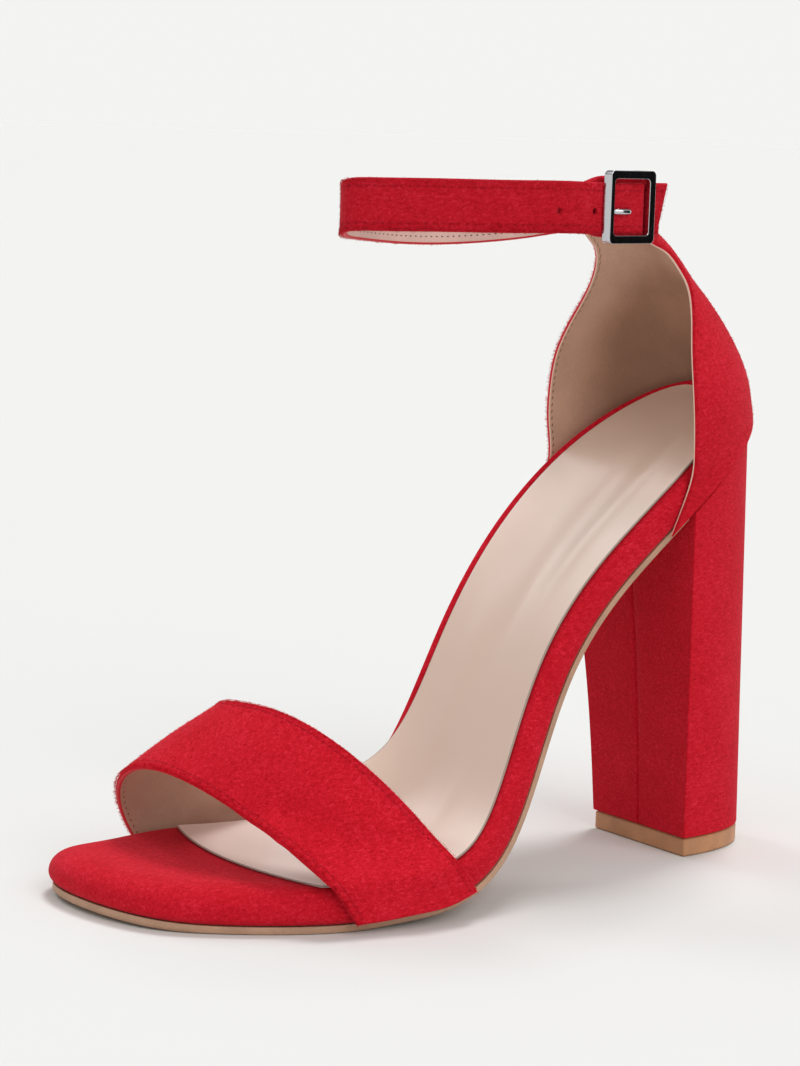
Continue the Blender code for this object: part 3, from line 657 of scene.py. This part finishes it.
# Footbed: offset and depth of its edge section from top to underside, and the toe's rounder section
footbed = dict(
    rim=((-0.0040, 0.0), (-0.0019, 0.0002), (-0.0006, 0.0010), (0.0, 0.0027), (0.0, 0.0060),
         (-0.0006, 0.0080), (-0.0018, 0.0090)),
    toeRim=((-0.0090, 0.0), (-0.0054, 0.0005), (-0.0026, 0.0017), (-0.0007, 0.0036), (0.0, 0.0058),
            (-0.0004, 0.0077), (-0.0018, 0.0090)),
    rows=26,
)
footbedSheets = soleLayer(*(smoothRows(footbed[rim], footbed["rows"]) for rim in ("rim", "toeRim")))
dress(pieceFrom("footbed_wrap", footbedSheets, [rimSuede]), "footbed")

# Outsole: thin sheet from the heel's breast to the toe, its edge section as offset and depth below its top
outsole = dict(
    inset=0.0014, breastY=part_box("outsole")[1].y - lastPlace[1], breastGap=0.0009,
    rim=((0.0, 0.0), (0.0, 0.0006), (0.0, 0.0012), (-0.0002, 0.0018), (-0.0008, 0.0022)),
)
outsoleTop = sole["thickness"] + sole["gap"]
outsoleRim = [(offset - outsole["inset"], depth + outsoleTop) for offset, depth in outsole["rim"]]
outsoleSheets = soleLayer(outsoleRim, firstY=outsole["breastY"] - outsole["breastGap"], floor=0.0)
dress(pieceFrom("outsole_sheet", outsoleSheets, [soleRubber]), "outsole")

# Sock liner: inset from the footbed's edges, with a shallow arc for its front under the band; here and below,
# fine rows and columns are given as count, length and rounding of their ends
sock = dict(
    outerInset=0.0019, innerInset=0.0042, backInset=0.0030, backReach=0.012, wall=0.0006, rounding=0.0003,
    frontY=-0.1568, frontX=-0.003, frontReach=0.042, frontDepth=0.010,
    rows=(170, 0.155, 0.004), columns=(60, 0.05, 0.0025), crowding=1.35, samples=900, settlings=6,
    foldFade=0.02,
    folds=(
        dict(across=0.74, width=0.07, depth=-0.00045, fromY=-0.006, toY=-0.075),
        dict(across=0.56, width=0.09, depth=0.00040, fromY=-0.010, toY=-0.090),
        dict(across=0.30, width=0.10, depth=-0.00035, fromY=-0.060, toY=-0.125),
        dict(across=0.62, width=0.08, depth=-0.00040, fromY=-0.085, toY=-0.140),
    ),
)


# Plan: along from the heel to the front arc, across from the inner to the outer edge, each edge moved in by
# its inset; the front arc hangs on x, so a few rounds settle both
def sockPlan():
    along = edgeShares(*sock["rows"])[:, None]
    across = edgeShares(*sock["columns"])[None, :]
    fine = np.linspace(0.0, toeY, sock["samples"])
    limits = {}
    for side, inset in (("outer", sock["outerInset"]), ("inner", sock["innerInset"])):
        points, outward = edgeAt(side, fine)
        blend = np.exp(-(fine / sock["backReach"]) ** 2)[:, None]
        moved = points - (inset + (sock["backInset"] - inset) * blend) * outward
        order = np.argsort(-moved[:, 1])
        limits[side] = moved[order]
    heelY = max(limits["outer"][0, 1], limits["inner"][0, 1])
    x = np.zeros((len(along), across.shape[1]))
    for settling in range(sock["settlings"]):
        front = sock["frontY"] + sock["frontDepth"] * ((x - sock["frontX"]) / sock["frontReach"]) ** 2
        y = heelY + (front - heelY) * along ** sock["crowding"]
        outer = np.interp(-y, -limits["outer"][:, 1], limits["outer"][:, 0])
        inner = np.interp(-y, -limits["inner"][:, 1], limits["inner"][:, 0])
        x = inner + (outer - inner) * across
    return np.stack([x, y], axis=-1), across


sockXY, sockAcross = sockPlan()
sockHollow = dishAt(sockAcross, sockXY[..., 1])
for fold in sock["folds"]:
    ridge = np.exp(-((sockAcross - fold["across"]) / fold["width"]) ** 2)
    ends = smoothStep(-sockXY[..., 1], -fold["fromY"], -fold["fromY"] + sock["foldFade"])
    ends = ends * (1 - smoothStep(-sockXY[..., 1], -fold["toY"] - sock["foldFade"], -fold["toY"]))
    sockHollow = sockHollow + fold["depth"] * ridge * ends
sockMiddle = seat(sockXY, sockHollow - sole["gap"] - sock["wall"] / 2 - curlLift(sockXY))
sockGaps = borderGaps(sockMiddle)
sockSeam = np.stack([sockGaps[0], np.minimum.reduce(sockGaps)], axis=-1)
sockSheets = shellSheets(sockMiddle, np.array([0, 0, 1.0]), sock, sockSeam)
dress(pieceFrom("sock_sheet", sockSheets, [sockSatin, sockSatin]), "sock_liner")

# Heel: D-shaped foot, a flat raked breast with a seam down its middle, and a top that follows the seat
heel = dict(
    breastRake=0.0948, cover=0.0005, topOffset=0.0012, backOffset=-0.0010, innerFlare=2.6, outerFlare=1.0,
    frontRange=(-0.050, -0.025), samples=501, stations=120, columns=61, rows=40,
    corner=0.0012, cornerSegments=4,
    panel=0.485, panelColumns=12, seamColumns=(0.493, 0.5, 0.507), seamDepth=0.0006, seamWidth=0.009,
)


def breastAt(height):
    return heelTip["breastY"] - heel["breastRake"] * height


# D outline from its inner breast corner round the back to the outer one: a superellipse's upper half
def tipOutline(count, grow=0.0):
    turns = np.linspace(math.pi, 0.0, heelTip["samples"])
    power = 2 / heelTip["squareness"]
    x = np.sign(np.cos(turns)) * np.abs(np.cos(turns)) ** power * (heelTip["width"] / 2 + grow)
    y = np.abs(np.sin(turns)) ** power * (heelTip["depth"] + grow)
    return evenPoints(np.stack([heelTip["centreX"] + x, y], axis=-1), count)


# Place on the footbed whose underside meets the top of the breast
def heelFront():
    y = np.linspace(*heel["frontRange"], heel["samples"])
    under = seat(np.stack([np.zeros_like(y), y], axis=-1), sole["thickness"] + sole["gap"])
    return np.interp(0.0, under[:, 1] - breastAt(under[:, 2]), y)


# Sides run straight from foot to top, the inner one widening late; the breast closes each row straight
# across, with a narrow groove at its middle
def heelSheets():
    front = heelFront()
    y = front * (1 - np.cos(np.linspace(0, math.pi / 2, heel["stations"])))
    outer, outerOut = edgeAt("outer", y)
    inner, innerOut = edgeAt("inner", y)
    offset = (heel["backOffset"] + (heel["topOffset"] - heel["backOffset"]) * y / front)[:, None]
    plan = np.vstack([(inner + offset * innerOut)[::-1], (outer + offset * outerOut)[1:]])
    top = evenPoints(seat(plan, sole["thickness"] + sole["gap"]), heel["columns"])
    top[[0, -1], 1] = breastAt(top[[0, -1], 2])
    low = heelTip["height"] + sole["gap"]
    foot = tipOutline(heel["columns"], heel["cover"])
    bottom = np.stack([foot[:, 0], breastAt(low) + foot[:, 1], np.full(heel["columns"], low)], axis=-1)
    innerShare = np.clip(1 - np.linspace(0.0, 2.0, heel["columns"]), 0.0, 1.0)
    flare = heel["outerFlare"] + (heel["innerFlare"] - heel["outerFlare"]) * innerShare
    share = np.linspace(0.0, 1.0, heel["rows"])[:, None]
    sides = bottom + (top - bottom) * share[..., None]
    sides[..., 0] = bottom[:, 0] + (top[:, 0] - bottom[:, 0]) * share ** flare
    panel = np.linspace(0, heel["panel"], heel["panelColumns"])
    span = np.concatenate([panel, heel["seamColumns"], 1 - panel[::-1]])
    breast = sides[:, -1:] * (1 - span[None, :, None]) + sides[:, :1] * span[None, :, None]
    breast[..., 1] += heel["seamDepth"] * np.exp(-((span - 0.5) / heel["seamWidth"]) ** 2)
    return filledSheets(np.concatenate([sides, breast[:, 1:-1]], axis=1))


heelPiece = pieceFrom("heel_cover", heelSheets(), [heelSuede])
roundCorners(heelPiece, heel["corner"], heel["cornerSegments"])
dress(heelPiece, "heel_block")


def tipSheets():
    foot = tipOutline(heel["columns"])
    foot[:, 1] += heelTip["breastY"]
    edge = evenPoints(np.vstack([foot[-1:], foot[:1]]), heelTip["breastColumns"])[1:-1]
    ring = np.vstack([foot, edge])[None]
    height = np.linspace(0.0, heelTip["height"], heelTip["rows"])[:, None]
    return filledSheets(np.stack(np.broadcast_arrays(ring[..., 0], ring[..., 1], height), axis=-1))


tipPiece = pieceFrom("heel_top_piece", tipSheets(), [tipRubber])
roundCorners(tipPiece, heelTip["bevel"], heelTip["bevelSegments"])
dress(tipPiece, "heel_tip")

# Counter, row by row from under the seat to the strap: slant and upright height, offset, extra offset at the
# back, and the front edge of each side
counter = dict(
    wall=0.0013, lean=math.radians(33), columns=25,
    slant=(-0.0087, -0.0060, -0.0030, 0.0010, 0.0065, 0.0120, 0.0180, 0.0240, 0.0300, 0.0360, 0.0420, 0.0480,
           0.0530, 0.0550, 0.0556),
    upright=(0, 0, 0, 0, 0, 0, 0, 0, 0, 0, 0, 0, 0, 0.0030, 0.0064),
    offset=(0.0017, 0.0017, 0.0020, 0.0028, 0.0036, 0.0039, 0.0037, 0.0030, 0.0020, 0.0009, 0.0001, -0.0011,
            -0.0025, -0.0033, -0.0035),
    back=(-0.0012, -0.0001, 0.0005, 0.0007, 0.0005, 0.0002, 0, 0, 0, 0, 0, 0, 0, 0, 0),
    outerFront=(-0.0443, -0.0405, -0.0367, -0.0336, -0.0313, -0.0289, -0.0259, -0.0222, -0.0169, -0.0092,
                -0.0066, -0.0064, -0.0090, -0.0128, -0.0134),
    innerFront=(-0.0450, -0.0412, -0.0372, -0.0341, -0.0318, -0.0294, -0.0264, -0.0228, -0.0174, -0.0118,
                -0.0082, -0.0066, -0.0068, -0.0072, -0.0076),
    fineRows=(90, 0.07, 0.0008), fineColumns=(150, 0.09, 0.0010), rounding=0.0006, napCount=9000, napSeed=11,
)


# Each row follows the seat's outline round the back at its offset, with a little more or less at the back
# itself, raised along the counter's lean
def counterGrid():
    spread = 1 - np.cos(np.linspace(0, math.pi / 2, counter["columns"] // 2 + 1))[None, :]
    outer, outerOut = edgeAt("outer", np.array(counter["outerFront"])[:, None] * spread)
    inner, innerOut = edgeAt("inner", np.array(counter["innerFront"])[:, None] * spread)
    offset = np.array(counter["offset"])[:, None] + np.array(counter["back"])[:, None] * (1 - spread) ** 2
    offset = offset[..., None]
    plan = np.concatenate([(inner + offset * innerOut)[:, ::-1], (outer + offset * outerOut)[:, 1:]], axis=1)
    lean = np.array([0.0, -math.sin(counter["lean"]), math.cos(counter["lean"])])
    lift = np.array(counter["slant"])[:, None, None] * lean
    lift[..., 2] += np.array(counter["upright"])[:, None]
    return seat(plan) + lift


counterOuter = surfaceAt(counterGrid(), edgeShares(*counter["fineRows"]), edgeShares(*counter["fineColumns"]))
counterBack = np.array([0, 1.0, 0.2])
counterMiddle = counterOuter - gridNormals(counterOuter, counterBack) * counter["wall"] / 2
low, high, first, last = borderGaps(counterMiddle)
counterRim = np.minimum.reduce([high, first, last])
counterSeam = np.stack([np.where(high <= np.minimum(first, last), first, low), counterRim], axis=-1)
counterSheets = shellSheets(counterMiddle, counterBack, counter, counterSeam)
dress(pieceFrom("counter_cup", counterSheets, [counterSuede, counterLining]), "counter")
counterNap = napSheets(counterOuter, counterBack, counterRim, counter["napCount"], counter["napSeed"])
dress(pieceFrom("counter_nap", [counterNap], [counterSuede]), None)

# Toe band, front and back edge: where it meets the sole on each side, and its crest
band = dict(
    front=dict(outerY=-0.1440, innerY=-0.1549, rise=0.0307, lean=-0.0187, skew=-0.0137, fullness=1.88,
               trail=0.0),
    back=dict(outerY=-0.1140, innerY=-0.1261, rise=0.0443, lean=-0.0298, skew=-0.0140, fullness=2.4,
              trail=0.0080),
    wall=0.0018, gaps=1.5, stand=0.0022, reach=0.0120, slant=1.1, crown=0.0010, rows=6, columns=33,
    fineRows=(44, 0.034, 0.0011), fineColumns=(230, 0.13, 0.0011), rounding=0.0009,
    napCount=12000, napSeed=12,
)


# One line across: a superellipse arch between its two feet, leaned by its crest, its inner leg trailing
# towards the heel, kept outside the footbed low down
def hoopLine(hoop):
    out = band["gaps"] * sole["gap"] + band["wall"]
    feet = []
    trailingY = hoop["innerY"] + hoop["trail"]
    for side, y in (("outer", hoop["outerY"]), ("inner", hoop["innerY"]), ("inner", trailingY)):
        point, outward = edgeAt(side, np.array([y]))
        feet.append(point + out * outward)
    start, end, trailing = seat(np.vstack(feet), sole["thickness"] - sole["gap"])
    turns = np.linspace(0, math.pi, band["columns"])
    power = 2 / hoop["fullness"]
    across = np.sign(np.cos(turns)) * np.abs(np.cos(turns)) ** power
    up = np.abs(np.sin(turns)) ** power
    arch = (start + end) / 2 + across[:, None] * (start - end) / 2
    arch = arch + up[:, None] * np.array([hoop["skew"], hoop["lean"], hoop["rise"]])
    arch = arch + np.maximum(-across, 0.0)[:, None] ** 2 * (trailing - end)
    over = np.maximum(arch[:, 2] - topHeight(-arch[:, 1]) - band["stand"], 0.0)
    for side, turn in (("outer", 1.0), ("inner", -1.0)):
        edge, outward = edgeAt(side, arch[:, 1])
        limit = turn * (edge[:, 0] + out / outward[:, 0]) - band["slant"] * over
        inside = (over < band["reach"]) & (turn * arch[:, 0] > 0) & (turn * arch[:, 0] < limit)
        arch[:, 0] = np.where(inside, turn * limit, arch[:, 0])
    return arch


def bandGrid():
    lines = []
    for share in np.linspace(0.0, 1.0, band["rows"]):
        front, back = band["front"], band["back"]
        hoop = {key: front[key] + share * (back[key] - front[key]) for key in front}
        hoop["rise"] += band["crown"] * 4 * share * (1 - share)
        lines.append(hoopLine(hoop))
    return np.stack(lines)


bandOuter = surfaceAt(bandGrid(), edgeShares(*band["fineRows"]), edgeShares(*band["fineColumns"]))
bandUp = np.array([0, 0, 1.0])
bandMiddle = bandOuter - gridNormals(bandOuter, bandUp) * band["wall"] / 2
low, high, first, last = borderGaps(bandMiddle)
bandRim = np.minimum(low, high)
bandSheets = shellSheets(bandMiddle, bandUp, band, np.stack([first, bandRim], axis=-1))
dress(pieceFrom("toe_band_wrap", bandSheets, [upperSuede, bandLining]), "toe_band")
bandNap = napSheets(bandOuter, bandUp, bandRim, band["napCount"], band["napSeed"])
dress(pieceFrom("toe_band_nap", [bandNap], [upperSuede]), None)

# Ankle strap: plan place and height of its middle, from the counter's inner side round to the buckle
strap = dict(
    wall=0.0020, width=0.0132, rounding=0.0009, columns=(430, 0.26, 0.0011), rows=(22, 0.0132, 0.0011),
    tailCut=0.0034, centre=(0.0, -0.078, 0.0), napCount=9000, napSeed=13,
    x=(-0.0118, -0.0160, -0.0203, -0.0225, -0.0231, -0.0229, -0.0190, -0.0104, -0.0026, 0.0033, 0.0090,
       0.0168, 0.0232, 0.0256),
    y=(-0.0298, -0.0333, -0.0385, -0.0470, -0.0580, -0.0760, -0.0970, -0.1170, -0.1268, -0.1293, -0.1255,
       -0.1115, -0.0930, -0.0760),
    z=(0.1744, 0.1748, 0.1750, 0.1739, 0.1727, 0.1717, 0.1720, 0.1735, 0.1749, 0.1762, 0.1766, 0.1768,
       0.17685, 0.1769),
    flat=(-0.0095, -0.0030, 0.0040, 0.0100, 0.0164), flatZ=0.1767,
    holes=(-0.0112, -0.0229, -0.0008), holeHeight=0.1760, holeRadius=0.00090, punchSides=24, punchReach=0.006,
    bulge=0.0014, bulgeReach=0.0064, bulgeFlat=0.74,
)
buckle = dict(
    place=(0.02412, -0.0582, 0.1771), turn=math.radians(6.4), length=0.0176, height=0.0186, plate=0.0020,
    draft=0.0008, sideBar=0.0022, crossBar=0.0021, corner=0.0013, windowCorner=0.0011, edge=0.00018,
    rearBar=0.0016, leg=0.00125, legCorner=0.0003, legBend=0.0007, legHold=0.4, bendSteps=6,
)


# Points of the strap's flat run under the buckle: along it from the buckle's middle, out from it, and up
def bucklePoints(along, out=0.0, up=0.0):
    along, out, up = np.broadcast_arrays(*(np.asarray(part, float) for part in (along, out, up)))
    x, y, z = buckle["place"]
    sine, cosine = math.sin(buckle["turn"]), math.cos(buckle["turn"])
    return np.stack([x - along * sine + out * cosine, y + along * cosine + out * sine, z + up], axis=-1)


# Cubic through a strip's stations, set by the length of each chord; the strip stands on edge along it
def stripGrid(stations, widths, columnShares, rowShares, cut=0.0):
    knots = runLength(stations)
    path = splineThrough(knots, np.column_stack([stations, widths]))
    upShare = rowShares[:, None]
    travel = columnShares[None, :] * (knots[-1] - cut * (1 - upShare))
    placed = path(travel)
    middle = placed[..., :3].copy()
    middle[..., 2] += (upShare - 0.5) * placed[..., 3]
    return middle


# How far the strap swells out through the buckle's window, at a place along it
def swell(along):
    reach = strap["bulgeReach"]
    return strap["bulge"] * (1 - smoothStep(np.abs(along), strap["bulgeFlat"] * reach, reach))


strapFlat = bucklePoints(np.array(strap["flat"]))
strapFlat[:, 2] = strap["flatZ"]
strapStations = np.vstack([np.column_stack([strap["x"], strap["y"], strap["z"]]), strapFlat])
strapMiddle = stripGrid(strapStations, np.full(len(strapStations), strap["width"]),
                        edgeShares(*strap["columns"]), edgeShares(*strap["rows"]), strap["tailCut"])
buckleOut = bucklePoints(0.0, 1.0) - bucklePoints(0.0)
buckleAlong = (strapMiddle - bucklePoints(0.0)) @ (bucklePoints(1.0) - bucklePoints(0.0))
strapMiddle += np.where(strapMiddle[..., 0] > 0, swell(buckleAlong), 0.0)[..., None] * buckleOut
strapOut = strapMiddle - np.array(strap["centre"])
strapOut[..., 2] = 0.0
low, high, first, last = borderGaps(strapMiddle)
strapRim = np.minimum.reduce([low, high, last])
strapSheets = shellSheets(strapMiddle, strapOut, strap, np.stack([first, strapRim], axis=-1))
strapPiece = pieceFrom("ankle_strap_wrap", strapSheets, [strapSuede, strapLining])


# Round bar along the buckle's outward direction, which punches a hole
def punch(place):
    turns = np.linspace(0, 2 * math.pi, strap["punchSides"], endpoint=False)
    along = place + strap["holeRadius"] * np.cos(turns)
    up = strap["holeHeight"] - buckle["place"][2] + strap["holeRadius"] * np.sin(turns)
    reach = strap["punchReach"]
    wall = np.stack([bucklePoints(along, out, up) for out in (-reach, reach)])
    return pieceFrom("punch", filledSheets(wall), [strapSuede])


# Cuts the punches out of a piece for good, then throws them away
def punchHoles(piece, punches):
    for tool in punches:
        cut = piece.modifiers.new("hole", "BOOLEAN")
        cut.operation = "DIFFERENCE"
        cut.solver = "EXACT"
        cut.object = tool
    bpy.context.view_layer.update()
    shaped = piece.evaluated_get(bpy.context.evaluated_depsgraph_get())
    piece.data = bpy.data.meshes.new_from_object(shaped)
    piece.modifiers.clear()
    for tool in punches:
        bpy.data.objects.remove(tool)


punchHoles(strapPiece, [punch(place) for place in strap["holes"]])
dress(strapPiece, "ankle_strap")
strapFace = strapMiddle + gridNormals(strapMiddle, strapOut) * strap["wall"] / 2
strapNap = napSheets(strapFace, strapOut, strapRim, strap["napCount"], strap["napSeed"])
dress(pieceFrom("ankle_strap_nap", [strapNap], [strapSuede]), None)

# Buckle tab: strip from the counter's outer side to the buckle, behind the strap
tab = dict(
    wall=0.0014, width=0.0152, frontWidth=0.0122, rootWidth=0.0124, rounding=0.0007, outward=(1.0, 0.1, 0),
    columns=(80, 0.034, 0.0009), rows=(20, 0.0152, 0.0009),
    flat=(-0.0132, -0.0080, 0.0, 0.0070, 0.0112), root=(0.0178, -0.0405, 0.1752),
)
tabOut = -(strap["wall"] + tab["wall"]) / 2 - sole["gap"]
tabStations = np.vstack([bucklePoints(np.array(tab["flat"]), tabOut), [tab["root"]]])
tabWidths = np.array([tab["frontWidth"]] + [tab["width"]] * (len(tab["flat"]) - 1) + [tab["rootWidth"]])
tabMiddle = stripGrid(tabStations, tabWidths, edgeShares(*tab["columns"]), edgeShares(*tab["rows"]))
low, high, first, last = borderGaps(tabMiddle)
tabSeam = np.stack([first, np.minimum.reduce([low, high, first])], axis=-1)
tabSheets = shellSheets(tabMiddle, np.array(tab["outward"]), tab, tabSeam)
dress(pieceFrom("buckle_tab_wrap", tabSheets, [strapSuede, strapLining]), "buckle_tab")

# Buckle frame: a rounded section carried round from the outer outline to the window's
slotOut = strap["wall"] / 2 + sole["gap"]
slotIn = -strap["wall"] / 2 - tab["wall"] - 2 * sole["gap"]


# Closed section: shares from the outer outline to the window, and places out from the strap, with small round
# corners; the toe end's outer face slants back as it rises
def buckleSheets():
    outerLoop = roundedRect(buckle["length"], buckle["height"], buckle["corner"])
    windowLength = buckle["length"] - 2 * buckle["sideBar"]
    windowHeight = buckle["height"] - 2 * buckle["crossBar"]
    windowLoop = roundedRect(windowLength, windowHeight, buckle["windowCorner"])
    section = roundedRect(buckle["sideBar"], buckle["plate"], buckle["edge"], perCorner=5)
    share = section[:, 0] / buckle["sideBar"] + 0.5
    out = section[:, 1] + slotOut + buckle["plate"] / 2
    loop = outerLoop[None] * (1 - share)[:, None, None] + windowLoop[None] * share[:, None, None]
    rise = (out - out.min()) / buckle["plate"]
    slant = buckle["draft"] * rise[:, None] * (1 - share)[:, None]
    along = loop[..., 0] + np.where(loop[..., 0] < -buckle["length"] / 4, slant, 0.0)
    ring = bucklePoints(along, out[:, None], loop[..., 1])
    return [sheet(np.concatenate([ring, ring[:1]]), closed=True)]


# Stirrup behind the strap at the heel end: a rounded section carried along a bracket-shaped path
def stirrupSheets():
    rear = slotIn - buckle["rearBar"] / 2
    top = buckle["height"] / 2 - buckle["leg"] / 2
    reach = slotOut + buckle["plate"] * buckle["legHold"]
    bend = buckle["legBend"]
    turns = np.linspace(0, math.pi / 2, buckle["bendSteps"])
    upperBend = np.stack([rear + bend - bend * np.sin(turns), top - bend + bend * np.cos(turns)], axis=-1)
    path = np.vstack([[(reach, top)], upperBend, (upperBend * [1, -1])[::-1], [(reach, -top)]])
    tangents = np.gradient(path, axis=0)
    tangents /= np.linalg.norm(tangents, axis=1, keepdims=True)
    sideways = np.stack([-tangents[:, 1], tangents[:, 0]], axis=-1)
    section = roundedRect(buckle["rearBar"], buckle["leg"], buckle["legCorner"], perCorner=4)
    along = buckle["length"] / 2 - buckle["rearBar"] / 2 + section[:, 0]
    out = path[:, None, 0] + sideways[:, None, 0] * section[None, :, 1]
    up = path[:, None, 1] + sideways[:, None, 1] * section[None, :, 1]
    return filledSheets(bucklePoints(along[None, :], out, up))


dress(pieceFrom("buckle_frame_plate", buckleSheets(), [buckleChrome], sharp=30), "buckle_frame")
dress(pieceFrom("buckle_stirrup", stirrupSheets(), [buckleChrome], sharp=50), None)


# Round bar along a path, its radius changing with each station and closed to a point at both ends
def barSheets(path, radius, side, sides=16):
    tangents = np.gradient(path, axis=0)
    tangents /= np.linalg.norm(tangents, axis=1, keepdims=True)
    across = np.cross(tangents, side)
    across /= np.linalg.norm(across, axis=1, keepdims=True)
    other = np.cross(tangents, across)
    turns = np.linspace(0, 2 * math.pi, sides, endpoint=False)[None, :, None]
    ring = np.cos(turns) * across[:, None] + np.sin(turns) * other[:, None]
    return [sheet(path[:, None] + np.asarray(radius)[:, None, None] * ring, closed=True)]


# Prong: from the toe-side bar along the strap's face, then down into its hole; places along the strap from
# the hole, and depths below the prong's own level
prong = dict(radius=0.0008, hole=-0.0008, along=(-0.0012, -0.0003, 0.0, 0.0), sunk=(0.0, 0.0, 0.0004, 0.0013),
             tipHeight=0.0004, rows=40, bluntness=16)
prongFace = strap["wall"] / 2
prongLift = prongFace + sole["gap"] + prong["radius"]
prongStart = -buckle["length"] / 2 + buckle["sideBar"] + sole["gap"]
prongAlong = np.concatenate([[prongStart], np.array(prong["along"]) + prong["hole"]])
prongOut = np.append(prongLift - np.array(prong["sunk"]), prong["tipHeight"] - prongFace)
prongOut[:-1] += swell(prongAlong[:-1])
prongKnots = bucklePoints(prongAlong, prongOut, strap["holeHeight"] - buckle["place"][2])
prongPath = smoothRows(prongKnots, prong["rows"])
prongTaper = np.clip(1 - np.linspace(-1, 1, prong["rows"]) ** prong["bluntness"], 0, 1)
prongSheets = barSheets(prongPath, prong["radius"] * np.sqrt(prongTaper), np.array([0, 0, 1.0]))
dress(pieceFrom("buckle_prong_pin", prongSheets, [buckleChrome]), "buckle_prong")

# Camera: where the photo was taken from, in the last's frame, with its turn, pitch and roll
shot = dict(place=(0.5706471, -0.5371168, 0.1959411), turn=math.radians(53.066), pitch=math.radians(8.254),
            roll=math.radians(1.819), focalPixels=2807.76, frameHeight=1066, sensor=36.0, nearest=0.01)


def makeCamera():
    sine, cosine = math.sin(shot["turn"]), math.cos(shot["turn"])
    level = math.cos(shot["pitch"])
    right = Vector((cosine, sine, 0))
    back = Vector((sine * level, -cosine * level, math.sin(shot["pitch"])))
    up = back.cross(right)
    rolledRight = right * math.cos(shot["roll"]) + up * math.sin(shot["roll"])
    rolledUp = up * math.cos(shot["roll"]) - right * math.sin(shot["roll"])
    data = bpy.data.cameras.new("shot")
    data.sensor_width = shot["sensor"]
    data.lens = shot["focalPixels"] * shot["sensor"] / shot["frameHeight"]
    data.clip_start = shot["nearest"]
    camera = bpy.data.objects.new("shot", data)
    turned = Matrix((rolledRight, rolledUp, back)).transposed().to_4x4()
    camera.matrix_world = Matrix.Translation(Vector(shot["place"]) + Vector(lastPlace)) @ turned
    bpy.context.scene.collection.objects.link(camera)
    bpy.context.scene.camera = camera


makeCamera()

# Studio: pale floor that runs out into an even pale surround, which is dimmer overhead, and soft far lamps
studio = dict(
    floorTone=(0.736, 0.741, 0.731), floorReach=60.0, floorDrop=0.0001,
    horizon=0.900, zenith=0.32, skyStep=(0.15, 0.55), tint=(1.0, 1.0, 0.978, 1),
    lamps=(
        dict(name="key", turn=92, lift=40, softness=40, power=0.98),
        dict(name="front", turn=18, lift=58, softness=50, power=0.32),
        dict(name="left", turn=-82, lift=38, softness=24, power=0.50),
        dict(name="top", turn=205, lift=72, softness=18, power=1.45),
    ),
    cardTone=(0.01, 0.01, 0.01), cardWay=(0.640, 0.754, -0.144), cardGap=0.30, cardReach=0.17,
)


# Direction towards a lamp: turn from straight ahead of the toe, round towards the outer side, and lift
def lampWay(turn, lift):
    turn, lift = math.radians(turn), math.radians(lift)
    return Vector((math.sin(turn) * math.cos(lift), -math.cos(turn) * math.cos(lift), math.sin(lift)))


# Dull square about the origin
def makeSquare(name, finishName, reach, tone):
    finish = Finish(finishName, Roughness=1.0, Specular_IOR_Level=0.0, Base_Color=tone + (1,))
    mesh = bpy.data.meshes.new(name)
    corners = [(-reach, -reach, 0), (reach, -reach, 0), (reach, reach, 0), (-reach, reach, 0)]
    mesh.from_pydata(corners, [], [(0, 1, 2, 3)])
    mesh.materials.append(finish.material)
    square = bpy.data.objects.new(name, mesh)
    bpy.context.scene.collection.objects.link(square)
    return square


def makeStudio():
    floor = makeSquare("floor", "floor_paper", studio["floorReach"], studio["floorTone"])
    floor.location.z = -studio["floorDrop"]
    world = bpy.data.worlds.new("surround")
    world.use_nodes = True
    desk = NodeDesk(world.node_tree)
    rise = desk.parts(desk.node("ShaderNodeTexCoord", output="Generated"))[2]
    sky = world.node_tree.nodes["Background"]
    sky.inputs["Color"].default_value = studio["tint"]
    glow = desk.step(rise, *studio["skyStep"], studio["horizon"], studio["zenith"])
    desk.feed(sky.inputs["Strength"], glow)
    bpy.context.scene.world = world
    for lamp in studio["lamps"]:
        data = bpy.data.lights.new(lamp["name"], "SUN")
        data.angle = math.radians(lamp["softness"])
        data.energy = lamp["power"]
        holder = bpy.data.objects.new(lamp["name"], data)
        holder.rotation_mode = "QUATERNION"
        holder.rotation_quaternion = lampWay(lamp["turn"], lamp["lift"]).to_track_quat("Z", "Y")
        bpy.context.scene.collection.objects.link(holder)
    bpy.context.scene.view_settings.view_transform = "Standard"


makeStudio()


# Black card for the buckle's face to mirror, seen by no other rays
def makeCard():
    way = Vector(studio["cardWay"]).normalized()
    card = makeSquare("card", "card_black", studio["cardReach"], studio["cardTone"])
    card.location = Vector(buckle["place"]) + Vector(lastPlace) + way * studio["cardGap"]
    card.rotation_mode = "QUATERNION"
    card.rotation_quaternion = way.to_track_quat("Z", "Y")
    for rays in ("camera", "diffuse", "shadow", "transmission", "volume_scatter"):
        setattr(card, "visible_" + rays, False)


makeCard()
print("studio and camera made")
